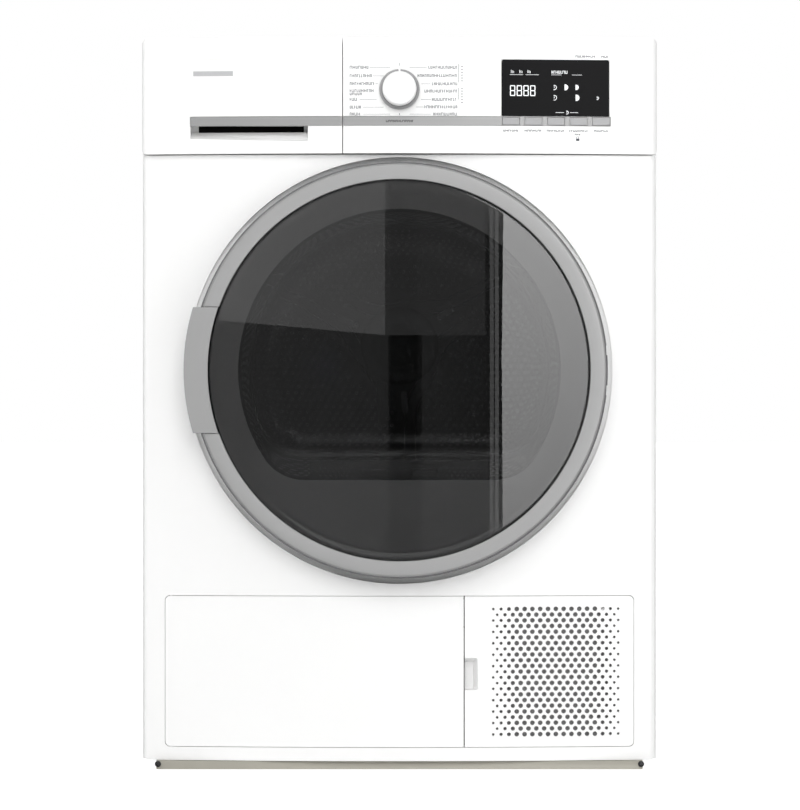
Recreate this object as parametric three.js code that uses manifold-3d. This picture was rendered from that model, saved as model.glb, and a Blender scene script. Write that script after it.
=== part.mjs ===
// Front-loading heat-pump clothes dryer, free standing.
// Millimetres. X to the right, -Y to the front (where the door is), Z up.
// The origin is on the floor under the middle of the case.
import * as THREE from 'three';
import { mergeVertices } from 'three/addons/utils/BufferGeometryUtils.js';
import Module from 'manifold-3d';

const wasm = await Module();
wasm.setup();

// ---------------------------------------------------------------- dimensions
const WIDTH = 596;            // case width
const HEIGHT = 845;           // floor to the top of the control panel
const REAR = 304.5;           // rear face of the duct cover; the door glass reaches -304.5
const HALF = WIDTH / 2;
const BOW = 2783;             // radius of the gently bowed front
const PANEL_FACE = -277;      // crown of the control panel
const LOWER_FACE = -270;      // crown of the lower front panel
const FRONT_BACK = -246;      // rear edge of every front moulding
const BAND_Z = 711.5;         // bottom of the control panel band
const SPLIT_X = -65.4;        // joint between water drawer and control panel
const STRIP_Z = [743.2, 754.0];
const WINDOW = [117.5, 242, 754.6, 819.5];
const KEY_X = [128.2, 154.3, 180.4, 206.5, 232.6];
const KNOB_Z = 784.7;
const DOOR_Z = 461.5;
const RECESS_R = 246;
const RECESS_FLOOR = -257.5;
const HINGE = [228, -283];    // upright hinge axis of the door
const MOUTH = [186, 127, 56]; // loading tunnel: radius, drop of the flat, corner radius
const KICK = [-271.5, 271.5, 26.5, 201.6];
const KICK_SPLIT = 74.6;
const KICK_AXIS = [-264, -255.9];
const DRUM_Z = 500;
const DRUM_R = 278;
const ROLLER = [163.4, 238.5, 30];
const PULLEY = [150, 118, 10];
const IDLER = [66, 125.2, 20];
const FAN = [180, 112, 62];
const FOOT = [263, -225, 235];

// ---------------------------------------------------------------- outlines
const TAU = Math.PI * 2;
const arc = (cx, cy, r, a0, a1, n) => Array.from({ length: n + 1 }, (_, k) => {
  const a = a0 + (a1 - a0) * k / n;
  return [cx + r * Math.cos(a), cy + r * Math.sin(a)];
});
const facets = (n) => Math.max(8, 2 * Math.round(n * 0.34));
const soft = (x0, x1, y0, y1, r, n = 4) => [
  ...arc(x0 + r, y0 + r, r, Math.PI, Math.PI * 1.5, n),
  ...arc(x1 - r, y0 + r, r, Math.PI * 1.5, TAU, n),
  ...arc(x1 - r, y1 - r, r, 0, Math.PI / 2, n),
  ...arc(x0 + r, y1 - r, r, Math.PI / 2, Math.PI, n),
];
// round above, flat below, with large lower corners
const dee = (r, flat, corner, n = 24, m = 4) => {
  const cx = Math.sqrt((r - corner) ** 2 - (flat - corner) ** 2);
  const phi = Math.atan2(-(flat - corner), cx);
  return [
    ...arc(cx, -(flat - corner), corner, -Math.PI / 2, phi, m),
    ...arc(0, 0, r, phi, Math.PI - phi, n).slice(1),
    ...arc(-cx, -(flat - corner), corner, Math.PI - phi, Math.PI * 1.5, m).slice(1),
  ];
};
// outline of an open belt round two wheels, or of a duct between two circles
const wrap = (x1, y1, r1, x2, y2, r2, n1 = 24, n2 = 8) => {
  const phi = Math.atan2(y2 - y1, x2 - x1);
  const beta = Math.acos((r1 - r2) / Math.hypot(x2 - x1, y2 - y1));
  return [
    ...arc(x1, y1, r1, phi + beta, phi + TAU - beta, n1),
    ...arc(x2, y2, r2, phi - beta, phi + beta, n2),
  ];
};
const bowAt = (x, face) => face + BOW - Math.sqrt(BOW * BOW - x * x);
const curve = (a, c, b, n) => Array.from({ length: n + 1 }, (_, k) => {
  const t = k / n;
  return [0, 1].map((i) => (1 - t) ** 2 * a[i] + 2 * t * (1 - t) * c[i] + t * t * b[i]);
});
// plan outline with a bowed front edge; left and right are the corner softenings
const bowed = (x0, x1, face, back, left = 0, right = 0, steps = 16) => {
  const f = (x) => bowAt(x, face);
  const start = left ? curve([x0, f(x0) + left], [x0, f(x0)], [x0 + left, f(x0 + left)], 5) : [[x0, f(x0)]];
  const end = right ? curve([x1 - right, f(x1 - right)], [x1, f(x1)], [x1, f(x1) + right], 5) : [[x1, f(x1)]];
  const middle = [];
  for (let k = 1; k < steps; k += 1) {
    const x = x0 + left + (x1 - right - x0 - left) * k / steps;
    middle.push([x, f(x)]);
  }
  return [...start, ...middle, ...end, [x1, back], [x0, back]];
};

// ---------------------------------------------------------------- solids
const solid = (geometry) => {
  const bare = new THREE.BufferGeometry();
  const loose = geometry.index ? geometry.toNonIndexed() : geometry;
  bare.setAttribute('position', loose.getAttribute('position').clone());
  const merged = mergeVertices(bare, 1e-3);
  const p = merged.getAttribute('position').array;
  const tris = [];
  let volume = 0;
  for (let i = 0; i < merged.index.count; i += 3) {
    const [a, b, c] = [0, 1, 2].map((k) => merged.index.getX(i + k));
    if (a === b || b === c || c === a) continue;
    tris.push(a, b, c);
    const [u, v, w] = [a, b, c].map((k) => [p[3 * k], p[3 * k + 1], p[3 * k + 2]]);
    volume += u[0] * (v[1] * w[2] - v[2] * w[1]) + u[1] * (v[2] * w[0] - v[0] * w[2])
      + u[2] * (v[0] * w[1] - v[1] * w[0]);
  }
  if (volume < 0) for (let i = 0; i < tris.length; i += 3) [tris[i], tris[i + 1]] = [tris[i + 1], tris[i]];
  return new wasm.Manifold(new wasm.Mesh({
    numProp: 3, vertProperties: new Float32Array(p), triVerts: new Uint32Array(tris),
  }));
};
const extrude = (outline, depth) => new THREE.ExtrudeGeometry(
  new THREE.Shape(outline.map(([a, b]) => new THREE.Vector2(a, b))),
  { depth, bevelEnabled: false, steps: 1, curveSegments: 1 },
);
const cut = (body, ...tools) => tools.reduce((a, b) => a.subtract(b), body);
const join = (body, ...more) => more.reduce((a, b) => a.add(b), body);
// outline in X,Z pushed along Y
const plate = (outline, y0, y1) => solid(extrude(outline, y1 - y0).rotateX(Math.PI / 2).translate(0, y1, 0));
// outline in X,Y pushed along Z
const slab = (outline, z0, z1) => solid(extrude(outline, z1 - z0).translate(0, 0, z0));
// outline in Y,Z pushed along X
const CYCLE = new THREE.Matrix4().set(0, 0, 1, 0, 1, 0, 0, 0, 0, 1, 0, 0, 0, 0, 0, 1);
const beam = (outline, x0, x1) => solid(extrude(outline, x1 - x0).applyMatrix4(CYCLE).translate(x0, 0, 0));
const box = (x0, x1, y0, y1, z0, z1) => solid(new THREE.BoxGeometry(x1 - x0, y1 - y0, z1 - z0)
  .translate((x0 + x1) / 2, (y0 + y1) / 2, (z0 + z1) / 2));
const rodY = (x, z, r, y0, y1, n = 20) => solid(new THREE.CylinderGeometry(r, r, y1 - y0, facets(n))
  .translate(x, (y0 + y1) / 2, z));
const rodZ = (x, y, r, z0, z1, n = 20) => solid(new THREE.CylinderGeometry(r, r, z1 - z0, facets(n))
  .rotateX(Math.PI / 2).translate(x, y, (z0 + z1) / 2));
const ringY = (x, z, r0, r1, y0, y1, n = 32) => cut(rodY(x, z, r1, y0, y1, n), rodY(x, z, r0, y0 - 1, y1 + 1, n));
// closed profile of [radius, y] turned about the Y axis through x, z
const turned = (profile, n = 48, x = 0, z = 0) => solid(new THREE.LatheGeometry(
  [...profile, profile[0]].map(([r, y]) => new THREE.Vector2(r, y)), facets(n),
).translate(x, 0, z));
const shellD = (outer, inner, y0, y1) => cut(plate(outer, y0, y1), plate(inner, y0 - 1, y1 + 1));

// ---------------------------------------------------------------- finishes
const FINISH = {
  white: [0xf4f4f2, 0.35, 0.0], plastic: [0xf1f1ef, 0.42, 0.0], grey: [0xb1b2b4, 0.4, 0.1],
  dark: [0x2a2b2e, 0.45, 0.0], smoked: [0x1c1d20, 0.08, 0.0], clear: [0x9aa0a4, 0.05, 0.0],
  steel: [0xb9bcc0, 0.32, 0.9], zinc: [0xa9adb2, 0.45, 0.85], rubber: [0x1d1d1e, 0.85, 0.0],
  beige: [0xb2b0a2, 0.6, 0.0], fin: [0xc6c9cc, 0.35, 0.9], black: [0x161617, 0.5, 0.2],
  green: [0x1f5a35, 0.55, 0.0], milk: [0xe4e7e8, 0.5, 0.0], keys: [0xbfc0c1, 0.4, 0.0],
};
const assembly = new THREE.Group();
assembly.name = 'clothes_dryer';
const groupAt = (name, x, y, z, parent = assembly) => {
  const g = new THREE.Group();
  g.name = name;
  g.position.set(x, y, z);
  parent.add(g);
  return g;
};
const node = (group, name, body, finish) => {
  const data = body.getMesh();
  const geometry = new THREE.BufferGeometry();
  geometry.setAttribute('position', new THREE.BufferAttribute(new Float32Array(data.vertProperties), 3));
  geometry.setIndex(new THREE.BufferAttribute(new Uint32Array(data.triVerts), 1));
  const [color, roughness, metalness] = FINISH[finish];
  const mesh = new THREE.Mesh(geometry, new THREE.MeshStandardMaterial({ color, roughness, metalness }));
  mesh.name = name;
  group.add(mesh);
  return mesh;
};

// ================================================================ outer case
const housing = groupAt('case', 0, 0, 0);

// moulded base tray with foot pockets, duct divider and cooling fan wall
const trayWalls = cut(slab(soft(-283, 283, -245.5, 266.4, 8), 3, 60),
  slab(soft(-280, 280, -242.5, 263.4, 5), 6, 61),
  box(-262, 262, -250, -240, 28, 61),
  box(84, 216, 260, 268, 48, 61));
const bosses = [];
const pockets = [];
for (const x of [-FOOT[0], FOOT[0]]) {
  for (const y of [FOOT[1], FOOT[2]]) {
    bosses.push(rodZ(x, y, 19, 3, 27, 24));
    pockets.push(rodZ(x, y, 15.5, 2, 23, 24), rodZ(x, y, 5.3, 20, 28, 16));
  }
}
const fanWall = cut(box(100, 262, -204, -201, 5, 186), rodY(FAN[0], FAN[1], 66, -206, -199, 32));
const fanCross = [box(FAN[0] - 4, FAN[0] + 4, -204, -201, FAN[1] - 70, FAN[1] + 70),
  box(FAN[0] - 70, FAN[0] + 70, -204, -201, FAN[1] - 4, FAN[1] + 4),
  rodY(FAN[0], FAN[1], 15, -204, -190, 20)];
const tray = cut(join(trayWalls, box(-281, 281, -264, -244.5, 1, 10.6), ...bosses, box(-44, -41, -200, 262, 5, 120), fanWall, ...fanCross),
  ...pockets, rodY(FAN[0], FAN[1], 3, -206, -192, 12));
node(housing, 'base_tray', tray, 'beige');

const sidePanel = (s) => {
  const p = [[-298, -244.5], [-289, -244.5], [-289, -243.3], [-296.8, -243.3], [-296.8, 268.8],
    [-286, 268.8], [-286, 270], [-298, 270]].map(([x, y]) => [s * x, y]);
  return slab(s > 0 ? p : p.reverse(), 11.5, 826);
};
node(housing, 'left_side_panel', sidePanel(1), 'white');
node(housing, 'right_side_panel', sidePanel(-1), 'white');

node(housing, 'worktop', cut(slab(soft(-HALF, HALF, -244.5, 285, 7), 826.4, 844.5),
  box(-HALF + 1.2, HALF - 1.2, -243.3, 283.8, 820, 829)), 'white');

// rear panel: a round opening crossed by the arms which carry the drum bearing
const rearHole = cut(rodY(0, DRUM_Z, 190, 260, 275, 48),
  box(-192, 192, 262, 272, DRUM_Z - 26, DRUM_Z + 26), box(-26, 26, 262, 272, DRUM_Z - 192, DRUM_Z + 192),
  rodY(0, DRUM_Z, 62, 262, 272, 32));
node(housing, 'rear_panel', cut(plate(soft(-295, 295, 12, 825, 4), 267, 268.2), rearHole,
  rodY(PULLEY[0], PULLEY[1], 62, 260, 275, 32), rodY(262, 100, 9.2, 260, 275, 16)), 'zinc');

// pressed cover of the rear air duct, from the process fan up to the drum
const ductOuter = wrap(0, DRUM_Z, 214, PULLEY[0], PULLEY[1], 84, 30, 10);
const ductFlange = wrap(0, DRUM_Z, 224, PULLEY[0], PULLEY[1], 94, 30, 10);
const ductInner = wrap(0, DRUM_Z, 212.2, PULLEY[0], PULLEY[1], 82.2, 30, 10);
node(housing, 'rear_duct_cover', cut(join(plate(ductOuter, 268.6, REAR), plate(ductFlange, 268.6, 270.4)),
  plate(ductInner, 260, REAR - 1.8)), 'zinc');

// hub which carries the drum shaft
node(housing, 'rear_bearing', cut(join(rodY(0, DRUM_Z, 17, 238, 264, 24), rodY(0, DRUM_Z, 44, 262, 266.7, 24)),
  rodY(0, DRUM_Z, 9.3, 230, 260, 20)), 'zinc');

// cable gland where the supply cable enters
node(housing, 'cable_gland', cut(join(rodY(262, 100, 13, 268.6, 272, 20), rodY(262, 100, 8.9, 262, 284, 16)),
  rodY(262, 100, 4.6, 255, 290, 12)), 'black');

// lower front panel with the round door recess, the loading opening and the kick opening
const lowerBlock = slab(bowed(-297, 297, LOWER_FACE, FRONT_BACK, 7.5, 7.5, 22), 11, 710.5);
const lowerSoft = plate(soft(-297, 297, 11, 710.5, 6), -300, -200);
const lowerCore = slab(bowed(-295, 295, LOWER_FACE + 2, FRONT_BACK + 8, 6, 6, 22), 13, 708.5);
const recessCup = cut(rodY(0, DOOR_Z, RECESS_R + 2, -285, RECESS_FLOOR + 2, 64),
  rodY(0, DOOR_Z, RECESS_R, -290, RECESS_FLOOR, 64)).intersect(lowerBlock);
const kickRim = cut(plate(soft(KICK[0] - 2, KICK[1] + 2, KICK[2] - 2, KICK[3] + 2, 8), -285, FRONT_BACK),
  plate(soft(...KICK, 6), -290, -240)).intersect(lowerBlock);
const doorSlots = [-1, 1].map((s) => box(222.4, 233.6, -270, -250, DOOR_Z + s * 23 - 6, DOOR_Z + s * 23 + 6));
const frontPanel = cut(
  join(cut(lowerBlock.intersect(lowerSoft), lowerCore, rodY(0, DOOR_Z, RECESS_R + 1, -290, -240, 64),
    plate(soft(KICK[0] - 1, KICK[1] + 1, KICK[2] - 1, KICK[3] + 1, 7), -290, -248)), recessCup, kickRim),
  plate(dee(196, 137, 60).map(([x, z]) => [x, z + DOOR_Z]), -290, -200),
  ...doorSlots, box(-214.5, -202.5, -270, -250, DOOR_Z - 10, DOOR_Z + 10),
  rodZ(KICK_AXIS[0], KICK_AXIS[1], 1.3, 22, 28, 10), rodZ(KICK_AXIS[0], KICK_AXIS[1], 1.3, 200, 206, 10),
);
node(housing, 'front_panel', frontPanel, 'white');

// fixed right-hand part of the kick opening: air grille with a finger scoop at its left edge
const kickSoft = plate(soft(-271, 271, 27.1, 201, 5.6), -300, -200);
const lowerSkin = (x0, x1, z0, z1, inset, thick) => cut(
  slab(bowed(x0, x1, LOWER_FACE + inset, FRONT_BACK + 2, 0, 0, 8), z0, z1),
  slab(bowed(x0 - 1, x1 + 1, LOWER_FACE + inset + thick, FRONT_BACK + 6, 0, 0, 8), z0 - 1, z1 + 1)).intersect(kickSoft);
const grilleSlots = [];
for (let k = 0; k < 9; k += 1) {
  const z = 46 + k * 17;
  grilleSlots.push(box(z > 85 && z < 140 ? 112 : 98, 258, -275, -250, z, z + 7));
}
const grilleBlock = slab(bowed(75.2, 271, LOWER_FACE + 0.2, FRONT_BACK, 0, 0, 8), 27.1, 201);
const grilleRim = cut(plate(soft(75.2, 271, 27.1, 201, 3), -285, FRONT_BACK),
  plate(soft(77.2, 269, 29.1, 199, 2), -290, -240)).intersect(grilleBlock).intersect(kickSoft);
const scoopBox = cut(box(75.2, 92, -270, -247.5, 91.5, 131.5), box(70, 90.4, -290, -249.2, 93.1, 129.9))
  .intersect(grilleBlock);
const grille = join(cut(join(lowerSkin(75.2, 271, 27.1, 201, 0.2, 2.3), grilleRim), ...grilleSlots,
  box(70, 91.5, -290, -240, 92, 131)), scoopBox);
node(housing, 'grille_panel', grille, 'white');

// ---------------------------------------------------------------- control panel band
const bandSoft = plate(soft(-HALF, HALF, BAND_Z, HEIGHT, 6), -300, -200);
const bandBlock = (x0, x1, l, r) => slab(bowed(x0, x1, PANEL_FACE, FRONT_BACK, l, r, 14), BAND_Z, HEIGHT);
const bandCore = (x0, x1, l, r) => slab(
  bowed(x0 + 2.5, x1 - 2.5, PANEL_FACE + 2.5, FRONT_BACK + 6, l, r, 14), BAND_Z + 2.5, HEIGHT - 2.5);
const bandStrip = (x0, x1, z0, z1, from, to) => cut(
  slab(bowed(x0, x1, PANEL_FACE + from, FRONT_BACK, 0, 0, 14), z0, z1),
  slab(bowed(x0 - 1, x1 + 1, PANEL_FACE + to, FRONT_BACK + 5, 0, 0, 14), z0 - 1, z1 + 1));
const posts = [[-15, 742], [-15, 828], [252, 742], [252, 828]].map(
  ([x, z]) => rodY(x, z, 3, bowAt(x, PANEL_FACE) + 1.2, -250.3, 10));
const fascia = cut(join(cut(bandBlock(-64.9, HALF, 0, 9).intersect(bandSoft), bandCore(-64.9, HALF, 0, 7)), ...posts),
  bandStrip(-66, 244.0, STRIP_Z[0] - 0.2, STRIP_Z[1] + 0.4, -5, 1.5),
  bandStrip(117.2, 242.6, STRIP_Z[1], WINDOW[3] + 0.3, -5, 1.6),
  box(120, 239.6, -285, -255, WINDOW[2] + 2.4, WINDOW[3] - 2.4),
  box(117.4, 242.9, -285, -255, 744, 753.2),
  rodY(0, KNOB_Z, 4, -285, -265, 16));
node(housing, 'control_fascia', fascia, 'white');

const keyHoles = KEY_X.map((x) => box(x - 10.1, x + 10.1, -285, -255, 744.0, 753.2));
node(housing, 'fascia_trim', cut(bandStrip(-64.4, 243.7, STRIP_Z[0], STRIP_Z[1], -0.4, 1.2), ...keyHoles), 'grey');
node(housing, 'display_window', bandStrip(WINDOW[0], WINDOW[1], WINDOW[2], WINDOW[3], 0.05, 1.3), 'smoked');

// control board with the selector encoder, the display module and one switch behind each key
const switches = KEY_X.map((x) => box(x - 3, x + 3, -253.4, -249.5, 745.6, 751.6));
node(housing, 'control_board', cut(join(box(-25, 262, -249.9, -248.2, 738, 832),
  box(-12, 12, -262, -249.5, KNOB_Z - 12, KNOB_Z + 12), box(125, 235, -260, -249.5, 762, 812), ...switches),
rodY(0, KNOB_Z, 3.5, -265, -252.5, 16)), 'green');

KEY_X.forEach((x, k) => {
  const group = groupAt(`option_button_${k + 1}_group`, x, 0, 748.6);
  const face = bowAt(x, PANEL_FACE);
  const stop = bowAt(x + 12, PANEL_FACE) + 2.8;
  const body = join(box(-9.8, 9.8, face - 0.9, face + 6, -4.3, 4.3),
    box(-12, 12, stop, stop + 1.8, -6.2, 6.2), box(-3, 3, face + 4, -255.4, -3, 3));
  node(group, `option_button_${k + 1}`, body, 'keys');
});

const knobGroup = groupAt('selector_group', 0, 0, KNOB_Z);
const knobBody = cut(turned([[0, -298.2], [17.5, -298.2], [19.2, -296.9], [20.2, -284.5], [22.6, -282.2], [23.2, -281],
  [23.2, -277.8], [20, -277.8], [20, -280], [3, -280], [3, -255], [0, -255]], 40), box(-1.3, 1.3, -299, -297, 8, 24));
node(knobGroup, 'selector_knob', knobBody, 'white');

// ---------------------------------------------------------------- water drawer
const drawer = groupAt('water_drawer', 0, 0, 0);
const pocketVoid = beam([[-290, 720.5], [-262, 730.2], [-244, 737], [-244, 758], [-262, 758], [-262, 743.8],
  [-290, 743.8]], -241.4, -105.4);
const pocketBlock = box(-246, -101, -268, -238, 715, 762).intersect(
  slab(bowed(-246, -101, PANEL_FACE + 1, -237, 0, 0, 8), 714, 763));
const drawerFront = cut(join(cut(bandBlock(-HALF, -65.9, 9, 0).intersect(bandSoft), bandCore(-HALF, -65.9, 7, 0)),
  pocketBlock), pocketVoid, bandStrip(-242, -60, STRIP_Z[0] - 0.2, STRIP_Z[1] + 0.4, -5, 1.5));
node(drawer, 'drawer_front', drawerFront, 'white');
node(drawer, 'drawer_trim', bandStrip(-241.4, -66.4, STRIP_Z[0], STRIP_Z[1], -0.4, 1.2), 'grey');
const tankOuter = [[-287, 719], [-205, 719], [-143, 756], [-70, 786], [-70, 822], [-287, 822]];
const tankInner = [[-284.5, 721.5], [-205.7, 721.5], [-144.2, 758.2], [-72.5, 787.7], [-72.5, 819.5], [-284.5, 819.5]];
node(drawer, 'water_tank', cut(plate(tankOuter, -237.6, 120), plate(tankInner, -235.1, 117.5),
  box(-280, -150, -100, 100, 815, 830)), 'milk');

// sheet guide which carries the tank over the drum
node(housing, 'tank_bay', plate([[-291, 715.5], [-204.9, 715.5], [-142.5, 752.7], [-66, 783.2], [-66, 824], [-68, 824],
  [-68, 785.0], [-143.5, 754.8], [-205.5, 717.4], [-291, 717.4]], -236, 262), 'zinc');

// ---------------------------------------------------------------- kick plate
const kick = groupAt('kick_plate_group', 0, 0, 0);
const kickBlock = slab(bowed(-271, 74, LOWER_FACE + 0.2, FRONT_BACK, 0, 0, 10), 27.1, 201);
const kickRibs = join(box(-262, 74, -275, -248.5, 27.1, 28.8), box(-262, 74, -275, -248.5, 199.3, 201),
  box(72.3, 74, -275, -248.5, 27.1, 92), box(72.3, 74, -275, -248.5, 131, 201)).intersect(kickBlock);
node(kick, 'kick_plate', join(lowerSkin(-271, 74, 27.1, 201, 0.2, 2.3), kickRibs,
  rodZ(KICK_AXIS[0], KICK_AXIS[1], 1, 24.9, 29, 10), rodZ(KICK_AXIS[0], KICK_AXIS[1], 1, 199, 203.2, 10)), 'white');

// ---------------------------------------------------------------- door
const door = groupAt('door', 0, 0, DOOR_Z);
const [HX, HY] = HINGE;
const ray = (a, len) => [HX + len * Math.cos(a), HY + len * Math.sin(a)];
const fan = [[HX, HY], ...arc(HX, HY, 34, -0.9, 1.66, 10)];
const strip = (a) => {
  const n = [-Math.sin(a) * 4.7, Math.cos(a) * 4.7];
  const e = ray(a, 34);
  return [[HX - n[0], HY - n[1]], [e[0] - n[0], e[1] - n[1]], [e[0] + n[0], e[1] + n[1]], [HX + n[0], HY + n[1]]];
};
const armSweep = [-1, 1].flatMap((s) => {
  const z = [s * 23 - 5.7, s * 23 + 5.7];
  return [slab(fan, ...z), slab(strip(Math.PI / 2), ...z), slab(strip(-0.73), ...z), rodZ(HX, HY, 6.7, ...z, 24)];
});
// the door edge next to the hinge is rounded so that it can turn inside the recess
const edgeTrim = cut(box(HX, 260, -284, -250, -90, 90), rodZ(HX, HY, 25, -91, 91, 40));

const ringProfile = [[218.5, -300], [234, -300.5], [237, -299], [241, -258.7], [238.6, -258.7], [234.8, -296.4],
  [218.5, -296.4]];
const gripCut = [cut(rodY(0, 0, 252, -296.3, -256, 48), rodY(0, 0, 224, -300, -250, 48))
  .intersect(box(-260, 0, -300, -250, -66, 66)),
cut(rodY(0, 0, 252, -305, -296.2, 48), rodY(0, 0, 210, -310, -290, 48)).intersect(box(-260, 0, -310, -290, -72.6, 72.6))];
const gripWall = cut(rodY(0, 0, 224, -296.3, -262.5, 48), rodY(0, 0, 221.5, -300, -250, 48))
  .intersect(box(-260, 0, -300, -250, -72.4, 72.4));
const gripEnds = [-1, 1].map((s) => cut(rodY(0, 0, 236.8, -296.6, -262.5, 48), rodY(0, 0, 221.5, -300, -250, 48))
  .intersect(box(-260, 0, -300, -250, Math.min(s * 66, s * 72.4), Math.max(s * 66, s * 72.4))));
node(door, 'door_ring', cut(join(cut(turned(ringProfile, 72), ...gripCut), gripWall, ...gripEnds),
  ...armSweep, edgeTrim), 'grey');

const glassDomed = turned([[0, -304.5], [90, -303.7], [162, -301.98], [206, -300.42], [215.5, -299.8],
  [217.8, -298.4], [217.8, -294.4], [206, -294.4], [162, -297.4], [90, -299.2], [0, -300.2]], 72);
node(door, 'door_glass', glassDomed, 'smoked');

const frameLedge = shellD(dee(185.5, 126.5, 55), dee(181.5, 122.5, 53), -287.6, -285.4);
const frameBody = cut(join(rodY(0, 0, 217.3, -294, -261, 72), rodY(0, 0, 236.5, -262.1, -259.6, 72)),
  cut(rodY(0, 0, 214.5, -300, -264.6, 72), plate(dee(188, 129, 57), -301, -250)), plate(dee(185, 126, 55), -300, -250));
const lug = (z0, z1) => join(box(212.5, HX, -288, -278, z0, z1), rodZ(HX, HY, 4.3, z0, z1, 20));
const frame = cut(join(cut(frameBody, ...armSweep, edgeTrim,
  cut(rodY(0, 0, 252, -296, -256, 48), rodY(0, 0, 224.3, -300, -250, 48)).intersect(box(-260, 0, -300, -250, -66, 66))),
frameLedge, lug(-16.6, 16.6), lug(29.4, 38), lug(-38, -29.4)), rodZ(HX, HY, 2.75, -36.4, 36.4, 16));
node(door, 'door_inner_frame', frame, 'dark');

node(door, 'door_bowl', cut(join(plate(dee(184.4, 125.4, 55), -291, -288), plate(dee(172, 96, 48), -290, -203)),
  plate(dee(169, 93, 46), -295, -206)), 'clear');

const gripBlock = join(cut(rodY(0, 0, 246.7, -302, -296.8, 72), rodY(0, 0, 219.3, -310, -290, 72)),
  cut(rodY(0, 0, 246.7, -298, -290, 72), rodY(0, 0, 243.6, -310, -280, 72)))
  .intersect(box(-260, -150, -310, -280, -72, 72));
node(door, 'door_handle', gripBlock, 'grey');

node(door, 'door_hook', cut(box(-210, -206, -259.2, -238, -8, 8), box(-212, -204, -249, -242, -5, 5)), 'steel');
node(door, 'hinge_pin', rodZ(HX, HY, 2.5, -36, 36, 16), 'steel');

// fixed parts around the door
const doorway = groupAt('doorway', 0, 0, DOOR_Z);
const arms = [-1, 1].flatMap((s) => [box(224, 232, HY, -253, s * 23 - 5, s * 23 + 5),
  rodZ(HX, HY, 6, s * 23 - 5, s * 23 + 5, 20)]);
node(doorway, 'hinge_bracket', cut(join(box(214, 246, -255.2, -252.7, -60, 60), ...arms),
  rodZ(HX, HY, 2.9, -30, 30, 16)), 'steel');
node(doorway, 'door_lock', cut(box(-222, -198, -252, -222, -32, 32), box(-214.5, -202.5, -260, -232, -10, 10),
  box(-219, -201, -260, -226, 14, 28), box(-219, -201, -260, -226, -28, -14)), 'black');
node(doorway, 'door_seal', shellD(dee(194.4, 135.4, 59), dee(187, 128, 56), -259.2, -251.4), 'rubber');

// ---------------------------------------------------------------- drum chamber
const axles = [-1, 1].map((s) => rodY(s * ROLLER[0], ROLLER[1], 5, -211, -172, 14));
const bulkPlate = join(rodY(0, DRUM_Z, 284, -212, -209.5, 64), box(-284, 284, -212, -209.5, 212, DRUM_Z));
const tunnelAt = (r, f, c) => dee(r, f, c).map(([x, z]) => [x, z + DOOR_Z]);
const bulkhead = cut(
  join(bulkPlate, ringY(0, DRUM_Z, 249.5, 252, -210, -190, 56), plate(tunnelAt(188.5, 129.5, 57.5), -251, -209.5),
    box(-102.5, 102.5, -240.5, -211.5, 226, 334), ...axles),
  plate(tunnelAt(...MOUTH), -260, -200), box(-100.3, 100.3, -238.3, -213.7, 200, 340));
node(housing, 'front_bulkhead', bulkhead, 'plastic');

node(housing, 'lint_filter', cut(join(box(-104, 104, -247, -211, 335, 361), box(-98.5, 98.5, -236.5, -215.5, 232, 337)),
  box(-93, 93, -240, -218.5, 238, 331), box(15, 44, -250, -222, 340, 349), box(-44, -15, -250, -222, 340, 349)), 'dark');

const drum = groupAt('drum', 0, 0, DRUM_Z);
const lifters = [0, 1, 2].map((k) => slab([[-30, -DRUM_R + 0.4], [-12, -DRUM_R + 45], [-5, -DRUM_R + 55],
  [5, -DRUM_R + 55], [12, -DRUM_R + 45], [30, -DRUM_R + 0.4]], -215, 190).rotate([90, 0, 0])
  .rotate([0, 30 + 120 * k, 0]));
const drumTube = turned([[DRUM_R - 1, -204], [256, -204], [256, -205], [DRUM_R, -205], [DRUM_R, 235], [DRUM_R - 1, 235]], 72);
node(drum, 'drum_shell', join(drumTube, ...lifters.map((b) => b.intersect(rodY(0, 0, DRUM_R - 0.5, -201, 221, 72)))), 'steel');

const armShape = (a) => {
  const c = Math.cos(a);
  const s = Math.sin(a);
  return [[40, -42], [262, -30], [262, 30], [40, 42]].map(([x, z]) => [x * c - z * s, x * s + z * c]);
};
node(drum, 'drum_back', join(rodY(0, 0, 276.6, 227, 229, 72),
  turned([[271, 228], [276.6, 228], [276.6, 235], [275, 235], [271, 230]], 72),
  ...[0, 1, 2].map((k) => plate(armShape(-Math.PI / 2 + k * TAU / 3), 224.5, 228)), rodY(0, 0, 62, 222.5, 228, 32)), 'steel');
node(drum, 'drum_shaft', join(rodY(0, 0, 9, 233, 258, 20), rodY(0, 0, 34, 229.4, 234, 24)), 'steel');

for (const [side, s] of [['left', -1], ['right', 1]]) {
  const group = groupAt(`roller_${side}_group`, s * ROLLER[0], 0, ROLLER[1]);
  node(group, `roller_${side}`, cut(turned([[5.4, -202], [12, -202], [14, -198], [26, -198], [ROLLER[2], -200], [ROLLER[2], -181],
    [26, -183], [14, -183], [12, -179], [5.4, -179]], 32)), 'rubber');
}

// ---------------------------------------------------------------- drive
const belt = cut(plate(wrap(0, DRUM_Z, DRUM_R + 2.6, PULLEY[0], PULLEY[1], PULLEY[2] + 2.6, 40, 10), 60, 69),
  plate(wrap(0, DRUM_Z, DRUM_R + 0.6, PULLEY[0], PULLEY[1], PULLEY[2] + 0.6, 40, 10), 50, 80));
node(housing, 'drive_belt', belt, 'rubber');

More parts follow.
